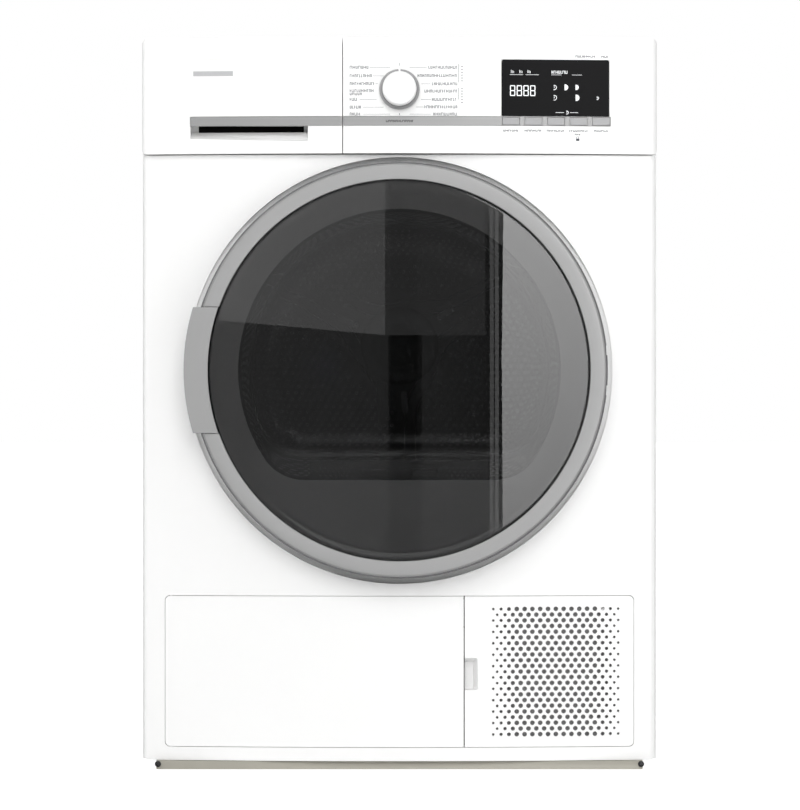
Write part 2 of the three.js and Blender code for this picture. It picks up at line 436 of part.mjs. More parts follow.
const motorBracket = cut(join(box(-15, 200, 79.5, 83, 6.4, 175), box(-15, 200, 79.5, 110, 6.4, 9)),
  rodY(PULLEY[0], PULLEY[1], 15, 70, 90, 20));
node(housing, 'motor_housing', cut(join(motorBracket, rodY(PULLEY[0], PULLEY[1], 50, 82, 150, 32),
  rodY(0, PULLEY[1], 4, 70, 80, 14)), rodY(PULLEY[0], PULLEY[1], 6.6, 70, 155, 16),
rodY(PULLEY[0], PULLEY[1], 44, 86, 146, 24), box(120, 180, 92, 140, 60, 200)), 'zinc');

const rotor = groupAt('motor_rotor', PULLEY[0], 0, PULLEY[1]);
node(rotor, 'motor_shaft', turned([[0, 56], [13, 56], [13, 58], [PULLEY[2], 58.5], [PULLEY[2], 70.5], [13, 71], [13, 73],
  [6, 73], [6, 100], [30, 100], [30, 136], [6, 136], [6, 215], [0, 215]], 28), 'steel');
const blades = [];
for (let k = 0; k < 14; k += 1) {
  const a = k * TAU / 14;
  const q = [[46, -1], [71, 6], [71, 8.4], [46, 1.4]].map(
    ([x, z]) => [x * Math.cos(a) - z * Math.sin(a), x * Math.sin(a) + z * Math.cos(a)]);
  blades.push(plate(q, 171, 212));
}
node(rotor, 'fan_wheel', join(cut(turned([[6.4, 160], [14, 160], [14, 168], [72, 170], [72, 172], [14, 173], [14, 190],
  [6.4, 190]], 36)), ...blades), 'plastic');

node(housing, 'fan_housing', cut(join(rodY(PULLEY[0], PULLEY[1], 86, 164.5, 218, 40), ringY(PULLEY[0], PULLEY[1], 55, 60, 216, 266.4, 32),
  box(100, 200, 172, 210, 6.4, 60)), rodY(PULLEY[0], PULLEY[1], 82, 167.5, 215.6, 40),
rodY(PULLEY[0], PULLEY[1], 55, 210, 270, 32), rodY(PULLEY[0], PULLEY[1], 18, 160, 170, 24),
box(60, 100, 172, 210, 100, 136)), 'dark');

const tensioner = groupAt('tensioner', 0, 0, PULLEY[1]);
const [ix, iz] = [IDLER[0], IDLER[1] - PULLEY[1]];
node(tensioner, 'tensioner_arm', cut(join(plate(wrap(0, 0, 11, ix, iz, 8, 14, 10), 73.4, 76.8),
  rodY(ix, iz, 4, 56, 75, 14)), rodY(0, 0, 4.3, 60, 90, 14)), 'zinc');
const idler = groupAt('idler', ix, 0, iz, tensioner);
node(idler, 'idler_pulley', turned([[4.4, 58], [IDLER[2] + 2, 58], [IDLER[2] + 2, 59.4], [IDLER[2], 59.6],
  [IDLER[2], 69.4], [IDLER[2] + 2, 69.6], [IDLER[2] + 2, 71], [4.4, 71]], 28), 'plastic');

// ---------------------------------------------------------------- heat pump
const fins = (x0, x1, y0, y1, z0, z1, pitch) => {
  const gaps = [];
  for (let x = x0 + pitch; x < x1 - pitch / 2; x += pitch) gaps.push(box(x, x + pitch * 0.6, y0 - 1, y1 + 1, z0 + 6, z1 + 1));
  return cut(box(x0, x1, y0, y1, z0, z1), ...gaps);
};
node(housing, 'evaporator', fins(-240, -60, -200, -80, 6.4, 185, 15), 'fin');
node(housing, 'condenser', fins(-240, -60, -60, 70, 6.4, 185, 15), 'fin');
node(housing, 'exchanger_cover', cut(join(box(-250, -50, -231, -222, 32, 186), box(-244, -56, -222.5, -201, 38, 180)),
  box(-240, -60, -226, -190, 42, 176), rodY(-238, 108, 2, -240, -220, 10), rodY(-62, 108, 2, -240, -220, 10)), 'black');
for (const [side, x, s] of [['left', -238, 1], ['right', -62, -1]]) {
  const group = groupAt(`exchanger_latch_${side}_group`, x, 0, 108);
  node(group, `exchanger_latch_${side}`, join(rodY(0, 0, 9, -236.5, -231.5, 20),
    box(Math.min(-3, -s * 24), Math.max(3, -s * 24), -236.5, -231.5, -5, 5),
    box(-1.8, 1.8, -239.5, -236, -8, 8), rodY(0, 0, 1.7, -232, -224, 10)), 'grey');
}
const can = new THREE.LatheGeometry([[0, 14], [56, 14], [60, 22], [60, 160], [52, 178], [30, 185], [0, 186]].map(
  ([r, z]) => new THREE.Vector2(r, z)), 24).rotateX(Math.PI / 2).translate(175, -110, 0);
const compressorFeet = [0, 1, 2].map((k) => rodZ(175 + 60 * Math.cos(k * TAU / 3 + 0.5), -110 + 60 * Math.sin(k * TAU / 3 + 0.5), 10, 6.4, 20, 14));
node(housing, 'compressor', join(solid(can), ...compressorFeet, rodZ(175, -110, 66, 14, 18, 36)), 'black');

const cooling = groupAt('cooling_fan_group', FAN[0], 0, FAN[1]);
const vanes = [];
for (let k = 0; k < 7; k += 1) {
  const vane = box(14, FAN[2], -1.2, 1.2, -13, 13).rotate([38, 0, 0]).translate([0, -214, 0]);
  vanes.push(vane.intersect(rodY(0, 0, FAN[2], -222, -206.5, 36)).rotate([0, k * 360 / 7, 0]));
}
node(cooling, 'cooling_fan', join(rodY(0, 0, 18, -222, -206.5, 24), rodY(0, 0, 2.6, -207, -193, 12), ...vanes), 'plastic');

// ---------------------------------------------------------------- feet
for (const [end, y] of [['front', FOOT[1]], ['rear', FOOT[2]]]) {
  for (const [side, s] of [['left', -1], ['right', 1]]) {
    const group = groupAt(`foot_${end}_${side}_group`, s * FOOT[0], y, 0);
    node(group, `foot_${end}_${side}`, join(rodZ(0, 0, 14, 0, 10, 24), rodZ(0, 0, 4.6, 9, 37, 14)), 'rubber');
  }
}

export default assembly;
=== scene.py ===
"""Front-loading clothes dryer with a round smoked door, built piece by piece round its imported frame."""

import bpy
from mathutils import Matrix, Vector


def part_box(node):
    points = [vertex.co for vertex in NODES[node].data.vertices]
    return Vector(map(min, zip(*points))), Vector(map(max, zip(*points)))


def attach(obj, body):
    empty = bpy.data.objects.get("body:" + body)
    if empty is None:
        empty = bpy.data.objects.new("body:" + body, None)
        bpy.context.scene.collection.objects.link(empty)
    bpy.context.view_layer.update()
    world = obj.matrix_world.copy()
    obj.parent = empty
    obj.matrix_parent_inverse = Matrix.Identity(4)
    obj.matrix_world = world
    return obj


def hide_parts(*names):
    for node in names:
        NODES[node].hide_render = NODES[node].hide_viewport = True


bl_info = {
    "name": "Clothes dryer",
    "version": (1, 0, 0),
    "blender": (4, 5, 0),
    "location": "3D View > Sidebar > Dryer",
    "description": "Builds a free-standing clothes dryer piece by piece round its packed frame",
    "category": "Object",
}

import math
import random

import bmesh
import bpy
from bpy.props import FloatProperty, FloatVectorProperty, IntProperty, PointerProperty
from mathutils import Matrix, Vector

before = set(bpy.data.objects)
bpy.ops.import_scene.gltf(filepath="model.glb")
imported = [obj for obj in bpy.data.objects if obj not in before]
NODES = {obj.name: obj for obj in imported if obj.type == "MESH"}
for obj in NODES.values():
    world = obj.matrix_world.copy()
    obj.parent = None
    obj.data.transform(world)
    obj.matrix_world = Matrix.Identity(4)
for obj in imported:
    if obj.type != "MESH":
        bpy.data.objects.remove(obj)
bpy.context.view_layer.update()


# ------------------------------------------------------------------ places, in millimetres
def span(node):
    """Lowest and highest corner of a frame piece in millimetres."""
    low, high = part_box(node)
    return low * 1000.0, high * 1000.0


def middle(node):
    """Middle of a frame piece in millimetres."""
    low, high = span(node)
    return (low + high) / 2.0


GLASS_LOW, GLASS_HIGH = span("door_glass")
DOOR_Z = (GLASS_LOW.z + GLASS_HIGH.z) / 2.0
DRUM_Z = middle("drum_shaft").z
KNOB_Z = middle("selector_knob").z
BAND_LOW, BAND_HIGH = span("control_fascia")
PANEL_LOW, PANEL_HIGH = span("front_panel")
HINGE_X = middle("hinge_pin").x
HINGE_Y = middle("hinge_pin").y
BAND_FACE = -277.0
PANEL_FACE = PANEL_LOW.y
MOULDING_BACK = PANEL_HIGH.y
STRIP_LOW = span("fascia_trim")[0].z
STRIP_HIGH = span("fascia_trim")[1].z
KEY_NAMES = [f"option_button_{k}" for k in range(1, 6)]
FULL = math.tau


# ------------------------------------------------------------------ outlines
def arc(cx, cy, radius, start, end, steps):
    """Points along an arc."""
    return [
        (cx + radius * math.cos(start + (end - start) * k / steps),
         cy + radius * math.sin(start + (end - start) * k / steps))
        for k in range(steps + 1)
    ]


def soft_box(x0, x1, y0, y1, radius, steps=6):
    """A rectangle with rounded corners."""
    half = math.pi / 2
    return (
        arc(x0 + radius, y0 + radius, radius, math.pi, 3 * half, steps)
        + arc(x1 - radius, y0 + radius, radius, 3 * half, FULL, steps)
        + arc(x1 - radius, y1 - radius, radius, 0.0, half, steps)
        + arc(x0 + radius, y1 - radius, radius, half, math.pi, steps)
    )


def mouth(radius, flat, corner, steps=120, corner_steps=18):
    """The loading mouth's outline: round above, flat below, with large lower corners."""
    cx = math.sqrt((radius - corner) ** 2 - (flat - corner) ** 2)
    phi = math.atan2(-(flat - corner), cx)
    return (
        arc(cx, -(flat - corner), corner, -math.pi / 2, phi, corner_steps)
        + arc(0, 0, radius, phi, math.pi - phi, steps)[1:]
        + arc(-cx, -(flat - corner), corner, math.pi - phi, math.pi * 1.5, corner_steps)[1:]
    )


def bow_at(x, face, bow):
    """How far back the bowed front stands at x."""
    return face + bow - math.sqrt(bow * bow - x * x)


def bowed_plan(x0, x1, face, back, bow, left=0.0, right=0.0, steps=64):
    """Plan outline with a bowed front and softened front corners."""

    def corner(a, c, b):
        pts = []
        for k in range(9):
            t = k / 8
            pts.append(tuple((1 - t) ** 2 * a[i] + 2 * t * (1 - t) * c[i] + t * t * b[i] for i in (0, 1)))
        return pts

    def at(x):
        return bow_at(x, face, bow)

    start = [(x0, at(x0))]
    if left:
        start = corner((x0, at(x0) + left), (x0, at(x0)), (x0 + left, at(x0 + left)))
    end = [(x1, at(x1))]
    if right:
        end = corner((x1 - right, at(x1 - right)), (x1, at(x1)), (x1, at(x1) + right))
    middle_part = []
    for k in range(1, steps):
        x = x0 + left + (x1 - right - x0 - left) * k / steps
        middle_part.append((x, at(x)))
    return start + middle_part + end + [(x1, back), (x0, back)]


# ------------------------------------------------------------------ solids, modelled in millimetres
def keep(bm, name="blank"):
    """Closes a bmesh into a working object."""
    bmesh.ops.recalc_face_normals(bm, faces=bm.faces)
    mesh = bpy.data.meshes.new(name)
    bm.to_mesh(mesh)
    bm.free()
    ob = bpy.data.objects.new(name, mesh)
    bpy.context.scene.collection.objects.link(ob)
    return ob


def push(points, travel):
    """A closed outline of 3-D points pushed along a vector."""
    bm = bmesh.new()
    face = bm.faces.new([bm.verts.new(p) for p in points])
    made = bmesh.ops.extrude_face_region(bm, geom=[face])
    moved = [g for g in made["geom"] if isinstance(g, bmesh.types.BMVert)]
    bmesh.ops.translate(bm, vec=travel, verts=moved)
    return keep(bm)


def plate(outline, y0, y1, dz=0.0):
    """Outline in X and Z pushed along Y."""
    return push([(x, y0, z + dz) for x, z in outline], (0, y1 - y0, 0))


def slab(outline, z0, z1):
    """Outline in X and Y pushed along Z."""
    return push([(x, y, z0) for x, y in outline], (0, 0, z1 - z0))


def beam(outline, x0, x1):
    """Outline in Y and Z pushed along X."""
    return push([(x0, y, z) for y, z in outline], (x1 - x0, 0, 0))


def block(x0, x1, y0, y1, z0, z1):
    """A square-edged block, used as a blank or a cutting tool."""
    return slab([(x0, y0), (x1, y0), (x1, y1), (x0, y1)], z0, z1)


def rod(x, z, radius, y0, y1, steps=48):
    """A round blank along Y."""
    return plate(arc(x, z, radius, 0, FULL, steps)[:-1], y0, y1)


def upright(x, y, radius, z0, z1, steps=32):
    """A round blank along Z."""
    return slab(arc(x, y, radius, 0, FULL, steps)[:-1], z0, z1)


def turned(profile, x=0.0, z=0.0, steps=192, axis="Y", y=0.0):
    """A profile of (radius, along) turned a full circle about an axis through the given point."""
    bm = bmesh.new()
    verts = [bm.verts.new((r, a, 0.0)) for r, a in profile]
    edges = [bm.edges.new((verts[k], verts[(k + 1) % len(verts)])) for k in range(len(verts))
             if not (verts[k].co.x < 1e-6 and verts[(k + 1) % len(verts)].co.x < 1e-6)]
    bmesh.ops.spin(bm, geom=verts + edges, angle=FULL, steps=steps, axis=(0, 1, 0),
                   cent=(0, 0, 0), use_merge=True)
    bmesh.ops.remove_doubles(bm, verts=bm.verts, dist=1e-4)
    if axis == "Z":
        bmesh.ops.rotate(bm, cent=(0, 0, 0), matrix=Matrix.Rotation(math.pi / 2, 3, "X"), verts=bm.verts)
    bmesh.ops.translate(bm, vec=(x, y, z), verts=bm.verts)
    return keep(bm)


def sheet(low, high, thick):
    """A thin sheet between two paths, thickened backwards."""
    loops = []
    for shift in (0.0, thick):
        loops.append([(x, y + shift, z) for x, y, z in low]
                     + [(x, y + shift, z) for x, y, z in reversed(high)])
    bm = bmesh.new()
    rings = [[bm.verts.new(p) for p in loop] for loop in loops]
    half = len(low)
    for ring in rings:
        for k in range(half - 1):
            bm.faces.new((ring[k], ring[k + 1], ring[2 * half - 2 - k], ring[2 * half - 1 - k]))
    count = 2 * half
    for k in range(count):
        n = (k + 1) % count
        bm.faces.new((rings[0][k], rings[0][n], rings[1][n], rings[1][k]))
    return keep(bm)


def bundle(tools):
    """Several separate blanks held as one."""
    bm = bmesh.new()
    for tool in tools:
        bm.from_mesh(tool.data)
        bpy.data.objects.remove(tool)
    mesh = bpy.data.meshes.new("bundle")
    bm.to_mesh(mesh)
    bm.free()
    ob = bpy.data.objects.new("bundle", mesh)
    bpy.context.scene.collection.objects.link(ob)
    return ob


def work(body, tool, how):
    """Cuts, joins or keeps the common part of two blanks."""
    mod = body.modifiers.new("work", "BOOLEAN")
    mod.operation = how
    mod.object = tool
    mod.solver = "EXACT"
    deps = bpy.context.evaluated_depsgraph_get()
    mesh = bpy.data.meshes.new_from_object(body.evaluated_get(deps))
    body.modifiers.clear()
    body.data = mesh
    bpy.data.objects.remove(tool)
    return body


def cut(body, *tools):
    """Takes the tools out of the body."""
    for tool in tools:
        work(body, tool, "DIFFERENCE")
    return body


def join(body, *more):
    """Joins more blanks on."""
    for other in more:
        work(body, other, "UNION")
    return body


def common(body, other):
    """Keeps what both hold."""
    return work(body, other, "INTERSECT")


def soften(ob, width, segments=2, limit=35.0, flat=0.02):
    """Rounds every edge sharper than the limit, in degrees."""
    bm = bmesh.new()
    bm.from_mesh(ob.data)
    bmesh.ops.remove_doubles(bm, verts=bm.verts, dist=0.03)
    bmesh.ops.dissolve_limit(bm, angle_limit=math.radians(flat), verts=bm.verts, edges=bm.edges)
    bmesh.ops.dissolve_degenerate(bm, dist=1e-3, edges=bm.edges)
    sharp = [e for e in bm.edges
             if len(e.link_faces) == 2 and e.calc_face_angle(0.0) > math.radians(limit)]
    if width > 0 and sharp:
        bmesh.ops.bevel(bm, geom=sharp, offset=width, offset_type="OFFSET", segments=segments,
                        profile=0.5, affect="EDGES", clamp_overlap=True, material=-1)
    bm.to_mesh(ob.data)
    bm.free()
    return ob


def roll(ob, test, width, segments=5):
    """Rolls the sharp edges whose two ends both pass a test."""
    bm = bmesh.new()
    bm.from_mesh(ob.data)
    bmesh.ops.remove_doubles(bm, verts=bm.verts, dist=0.03)
    picked = [e for e in bm.edges if len(e.link_faces) == 2 and e.calc_face_angle(0.0) > 0.8
              and all(test(v.co) for v in e.verts)]
    bmesh.ops.bevel(bm, geom=picked, offset=width, offset_type="OFFSET", segments=segments,
                    profile=0.5, affect="EDGES", clamp_overlap=True, material=-1)
    bm.to_mesh(ob.data)
    bm.free()
    return ob


def smooth(ob, angle=38.0, weighted=True):
    """Shades smooth up to an angle, with flat faces kept flat."""
    mesh = ob.data
    for poly in mesh.polygons:
        poly.use_smooth = True
    mesh.set_sharp_from_angle(angle=math.radians(angle))
    if weighted:
        mod = ob.modifiers.new("even_light", "WEIGHTED_NORMAL")
        mod.keep_sharp = True
        mod.weight = 60
    return ob


def fit(ob, name, body, look, nodes=(), angle=38.0, weighted=True):
    """Finishes a piece: metres, name, shading, finish, and the body that it moves with."""
    ob.data.transform(Matrix.Scale(0.001, 4))
    ob.name = name
    ob.data.name = name
    ob.data.materials.clear()
    ob.data.materials.append(finish(look))
    smooth(ob, angle, weighted)
    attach(ob, body)
    if nodes:
        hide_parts(*nodes)
    return ob


def refined(node, width=0.4, segments=2, limit=35.0):
    """A frame piece with its edges rounded."""
    source = NODES[node]
    mesh = source.data.copy()
    mesh.transform(Matrix.Scale(1000.0, 4))
    ob = bpy.data.objects.new(node + "_blank", mesh)
    bpy.context.scene.collection.objects.link(ob)
    soften(ob, width, segments, limit)
    return ob


def refit(node, body, look, width=0.4, segments=2, name=None):
    """Fits the refined copy in place of the frame piece."""
    ob = refined(node, width, segments)
    return fit(ob, name or node + "_body", body, look, [node])


def wire(points, radius):
    """A round wire along a smooth curve through points."""
    curve = bpy.data.curves.new("wire", "CURVE")
    curve.dimensions = "3D"
    curve.bevel_depth = radius
    curve.bevel_resolution = 2
    curve.resolution_u = 8
    curve.use_fill_caps = True
    spline = curve.splines.new("BEZIER")
    spline.bezier_points.add(len(points) - 1)
    for knot, place in zip(spline.bezier_points, points):
        knot.co = place
        knot.handle_left_type = knot.handle_right_type = "AUTO"
    holder = bpy.data.objects.new("wire_path", curve)
    bpy.context.scene.collection.objects.link(holder)
    deps = bpy.context.evaluated_depsgraph_get()
    mesh = bpy.data.meshes.new_from_object(holder.evaluated_get(deps))
    bpy.data.objects.remove(holder)
    ob = bpy.data.objects.new("wire", mesh)
    bpy.context.scene.collection.objects.link(ob)
    return ob


def through(loops, closed_start=True, closed_end=True):
    """A skin through equal loops of points."""
    bm = bmesh.new()
    rings = []
    for loop in loops:
        verts = [bm.verts.new(p) for p in loop]
        rings.append([bm.edges.new((verts[k], verts[(k + 1) % len(verts)])) for k in range(len(verts))])
        if (loop is loops[0] and closed_start) or (loop is loops[-1] and closed_end):
            bm.faces.new(verts)
    for a, b in zip(rings, rings[1:]):
        bmesh.ops.bridge_loops(bm, edges=a + b)
    return keep(bm)


# ------------------------------------------------------------------ finishes
def shared_group(name, inputs, outputs):
    """A shader node group with named sockets."""
    tree = bpy.data.node_groups.new(name, "ShaderNodeTree")
    for label, kind, value in inputs:
        socket = tree.interface.new_socket(name=label, in_out="INPUT", socket_type=kind)
        if value is not None:
            socket.default_value = value
    for label, kind in outputs:
        tree.interface.new_socket(name=label, in_out="OUTPUT", socket_type=kind)
    return tree, tree.nodes.new("NodeGroupInput"), tree.nodes.new("NodeGroupOutput")


def math_node(tree, kind, a, b):
    """A maths node fed by sockets or numbers."""
    node = tree.nodes.new("ShaderNodeMath")
    node.operation = kind
    for socket, value in zip(node.inputs, (a, b)):
        if isinstance(value, (int, float)):
            socket.default_value = value
        else:
            tree.links.new(value, socket)
    return node.outputs[0]


def cloudy_group():
    """Slow, faint change of colour and gloss over a surface."""
    if "cloudy" in bpy.data.node_groups:
        return bpy.data.node_groups["cloudy"]
    tree, first, last = shared_group(
        "cloudy",
        [("Vector", "NodeSocketVector", None), ("Colour", "NodeSocketColor", (1, 1, 1, 1)),
         ("Amount", "NodeSocketFloat", 0.03), ("Scale", "NodeSocketFloat", 6.0),
         ("Roughness", "NodeSocketFloat", 0.4), ("Spread", "NodeSocketFloat", 0.08)],
        [("Colour", "NodeSocketColor"), ("Roughness", "NodeSocketFloat")],
    )
    noise = tree.nodes.new("ShaderNodeTexNoise")
    noise.inputs["Detail"].default_value = 4.0
    noise.inputs["Roughness"].default_value = 0.6
    tree.links.new(first.outputs["Vector"], noise.inputs["Vector"])
    tree.links.new(first.outputs["Scale"], noise.inputs["Scale"])
    offset = math_node(tree, "SUBTRACT", noise.outputs[0], 0.5)
    swing = math_node(tree, "MULTIPLY", offset, first.outputs["Amount"])
    gain = math_node(tree, "ADD", math_node(tree, "MULTIPLY", swing, 2.0), 1.0)
    tint = tree.nodes.new("ShaderNodeVectorMath")
    tint.operation = "SCALE"
    tree.links.new(first.outputs["Colour"], tint.inputs[0])
    tree.links.new(gain, tint.inputs["Scale"])
    tree.links.new(tint.outputs[0], last.inputs["Colour"])
    gloss = math_node(tree, "MULTIPLY", offset, first.outputs["Spread"])
    tree.links.new(math_node(tree, "ADD", gloss, first.outputs["Roughness"]), last.inputs["Roughness"])
    return tree


def grain_group():
    """Fine moulded grain, orange peel or brushing as a normal."""
    if "grain" in bpy.data.node_groups:
        return bpy.data.node_groups["grain"]
    tree, first, last = shared_group(
        "grain",
        [("Vector", "NodeSocketVector", None), ("Scale", "NodeSocketFloat", 800.0),
         ("Depth", "NodeSocketFloat", 0.00002)],
        [("Normal", "NodeSocketVector")],
    )
    noise = tree.nodes.new("ShaderNodeTexNoise")
    noise.inputs["Detail"].default_value = 3.0
    tree.links.new(first.outputs["Vector"], noise.inputs["Vector"])
    tree.links.new(first.outputs["Scale"], noise.inputs["Scale"])
    bump = tree.nodes.new("ShaderNodeBump")
    bump.inputs["Strength"].default_value = 1.0
    tree.links.new(first.outputs["Depth"], bump.inputs["Distance"])
    tree.links.new(noise.outputs[0], bump.inputs["Height"])
    tree.links.new(bump.outputs[0], last.inputs["Normal"])
    return tree


# colour, roughness, metallic, colour change, cloud scale, gloss spread, grain scale, grain depth, stretch
LOOKS = {
    "white_enamel": ((0.935, 0.935, 0.93), 0.30, 0.0, 0.008, 5, 0.05, 260, 6e-6, (1, 1, 1)),
    "white_moulding": ((0.935, 0.935, 0.93), 0.38, 0.0, 0.008, 6, 0.06, 1400, 4e-6, (1, 1, 1)),
    "knob_cap": ((0.935, 0.935, 0.935), 0.34, 0.0, 0.006, 20, 0.05, 1500, 3e-6, (1, 1, 1)),
    "knob_skirt": ((0.36, 0.36, 0.365), 0.35, 0.25, 0.03, 30, 0.08, 1500, 3e-6, (1, 1, 1)),
    "grey_lacquer": ((0.315, 0.315, 0.315), 0.36, 0.12, 0.025, 9, 0.08, 1200, 4e-6, (1, 1, 1)),
    "key_lacquer": ((0.345, 0.345, 0.35), 0.36, 0.05, 0.02, 30, 0.06, 1500, 3e-6, (1, 1, 1)),
    "display_black": ((0.010, 0.010, 0.0105), 0.25, 0.0, 0.10, 12, 0.06, 500, 1e-6, (1, 1, 1)),
    "smoke_moulding": ((0.13, 0.13, 0.135), 0.42, 0.0, 0.06, 10, 0.08, 1600, 8e-6, (1, 1, 1)),
    "black_moulding": ((0.022, 0.022, 0.024), 0.45, 0.0, 0.15, 14, 0.10, 1800, 1e-5, (1, 1, 1)),
    "grey_moulding": ((0.30, 0.30, 0.305), 0.5, 0.0, 0.05, 14, 0.10, 1600, 1e-5, (1, 1, 1)),
    "light_moulding": ((0.58, 0.59, 0.60), 0.45, 0.0, 0.04, 12, 0.10, 1500, 8e-6, (1, 1, 1)),
    "beige_moulding": ((0.40, 0.383, 0.33), 0.55, 0.0, 0.06, 16, 0.10, 1500, 1.2e-5, (1, 1, 1)),
    "milky_moulding": ((0.74, 0.76, 0.78), 0.42, 0.0, 0.04, 9, 0.08, 900, 8e-6, (1, 1, 1)),
    "drum_steel": ((0.27, 0.27, 0.27), 0.36, 1.0, 0.06, 9, 0.12, 500, 1.2e-5, (1, 14, 1)),
    "bright_steel": ((0.62, 0.62, 0.62), 0.28, 1.0, 0.05, 30, 0.12, 900, 6e-6, (1, 1, 8)),
    "zinc_sheet": ((0.52, 0.54, 0.56), 0.42, 0.9, 0.16, 38, 0.22, 300, 8e-6, (1, 1, 1)),
    "cast_metal": ((0.5, 0.5, 0.51), 0.5, 0.9, 0.08, 30, 0.12, 900, 3e-5, (1, 1, 1)),
    "fin_metal": ((0.72, 0.73, 0.74), 0.3, 1.0, 0.05, 20, 0.10, 700, 8e-6, (1, 6, 1)),
    "black_paint": ((0.016, 0.016, 0.018), 0.32, 0.0, 0.15, 10, 0.10, 500, 2e-5, (1, 1, 1)),
    "screen_felt": ((0.32, 0.32, 0.32), 0.9, 0.0, 0.10, 300, 0.05, 2400, 8e-5, (1, 1, 1)),
    # painted shade: the door ring's side band coloured darker than its grey face, for the shade it sits in
    "ring_side_painted_shade": ((0.165, 0.165, 0.17), 0.40, 0.1, 0.03, 12, 0.08, 1200, 4e-6, (1, 1, 1)),
    "glass_border": ((0.74, 0.74, 0.74), 0.5, 0.0, 0.03, 10, 0.06, 1400, 2e-6, (1, 1, 1)),
    # painted highlight: near-white for the drum-back dimple rims and arm beads, for the light they catch
    # against the darker drum steel
    "air_rim_painted_highlight": ((0.92, 0.92, 0.92), 0.5, 0.3, 0.05, 60, 0.10, 900, 4e-6, (1, 1, 1)),
    "soft_rubber": ((0.022, 0.022, 0.023), 0.78, 0.0, 0.2, 26, 0.14, 900, 2e-5, (1, 1, 1)),
    "felt": ((0.36, 0.35, 0.33), 0.95, 0.0, 0.2, 120, 0.05, 2600, 2e-4, (1, 1, 1)),
    "belt_rubber": ((0.028, 0.028, 0.03), 0.7, 0.0, 0.12, 40, 0.12, 400, 4e-5, (1, 12, 1)),
    "board": ((0.015, 0.11, 0.045), 0.4, 0.0, 0.2, 200, 0.15, 900, 1.5e-5, (1, 1, 1)),
    "copper": ((0.72, 0.36, 0.2), 0.3, 1.0, 0.12, 30, 0.16, 500, 1e-5, (1, 1, 1)),
    "print_grey": ((0.055, 0.06, 0.075), 0.6, 0.0, 0.08, 300, 0.05, 900, 1e-6, (1, 1, 1)),
    "print_pale": ((0.50, 0.50, 0.51), 0.6, 0.0, 0.08, 300, 0.05, 900, 1e-6, (1, 1, 1)),
    "print_black": ((0.02, 0.02, 0.022), 0.6, 0.0, 0.08, 300, 0.05, 900, 1e-6, (1, 1, 1)),
    # painted shade: near-black for places that are dark only from shade, the drawer slot mouth, the gap round
    # the door glass and the drum's air holes
    "painted_shade_black": ((0.004, 0.004, 0.004), 0.6, 0.0, 0.10, 60, 0.05, 900, 1e-6, (1, 1, 1)),
}
SPECULAR = {"display_black": 0.02, "painted_shade_black": 0.05, "smoke_moulding": 0.3, "air_rim_painted_highlight": 0.5}
GLASSES = {
    "smoked_glass": ((0.255, 0.255, 0.255, 1), 0.0, 1.5),
    "clear_glass": ((0.86, 0.88, 0.89, 1), 0.01, 1.48),
}


def finish(name):
    """A named finish, made once."""
    title = name + "_finish"
    if title in bpy.data.materials:
        return bpy.data.materials[title]
    mat = bpy.data.materials.new(title)
    mat.use_nodes = True
    tree = mat.node_tree
    shader = tree.nodes["Principled BSDF"]
    place = tree.nodes.new("ShaderNodeTexCoord")
    if name in GLASSES:
        colour, rough, ior = GLASSES[name]
        shader.inputs["Base Color"].default_value = colour
        shader.inputs["IOR"].default_value = ior
        shader.inputs["Transmission Weight"].default_value = 1.0
        cloudy = tree.nodes.new("ShaderNodeGroup")
        cloudy.node_tree = cloudy_group()
        cloudy.inputs["Colour"].default_value = colour
        cloudy.inputs["Amount"].default_value = 0.02
        cloudy.inputs["Scale"].default_value = 3.0
        cloudy.inputs["Roughness"].default_value = rough
        cloudy.inputs["Spread"].default_value = rough * 0.5
        tree.links.new(place.outputs["Object"], cloudy.inputs["Vector"])
        tree.links.new(cloudy.outputs["Colour"], shader.inputs["Base Color"])
        tree.links.new(cloudy.outputs["Roughness"], shader.inputs["Roughness"])
        return mat
    if name == "lit_segments":
        shader.inputs["Base Color"].default_value = (0.8, 0.82, 0.84, 1)
        noise = tree.nodes.new("ShaderNodeTexNoise")
        noise.inputs["Scale"].default_value = 900.0
        ramp = tree.nodes.new("ShaderNodeMapRange")
        ramp.inputs["To Min"].default_value = 0.7
        ramp.inputs["To Max"].default_value = 0.95
        tree.links.new(place.outputs["Object"], noise.inputs["Vector"])
        tree.links.new(noise.outputs[0], ramp.inputs["Value"])
        tree.links.new(ramp.outputs[0], shader.inputs["Emission Color"])
        shader.inputs["Emission Strength"].default_value = 0.35
        return mat
    colour, rough, metal, amount, scale, spread, grain_scale, depth, stretch = LOOKS[name]
    mapping = tree.nodes.new("ShaderNodeMapping")
    mapping.inputs["Scale"].default_value = stretch
    cloudy = tree.nodes.new("ShaderNodeGroup")
    cloudy.node_tree = cloudy_group()
    cloudy.inputs["Colour"].default_value = (*colour, 1)
    cloudy.inputs["Amount"].default_value = amount
    cloudy.inputs["Scale"].default_value = scale
    cloudy.inputs["Roughness"].default_value = rough
    cloudy.inputs["Spread"].default_value = spread
    grain = tree.nodes.new("ShaderNodeGroup")
    grain.node_tree = grain_group()
    grain.inputs["Scale"].default_value = grain_scale
    grain.inputs["Depth"].default_value = depth
    tree.links.new(place.outputs["Object"], mapping.inputs["Vector"])
    tree.links.new(place.outputs["Object"], cloudy.inputs["Vector"])
    tree.links.new(mapping.outputs["Vector"], grain.inputs["Vector"])
    tree.links.new(cloudy.outputs["Colour"], shader.inputs["Base Color"])
    tree.links.new(cloudy.outputs["Roughness"], shader.inputs["Roughness"])
    tree.links.new(grain.outputs["Normal"], shader.inputs["Normal"])
    shader.inputs["Metallic"].default_value = metal
    shader.inputs["Specular IOR Level"].default_value = SPECULAR.get(name, 0.5)
    return mat


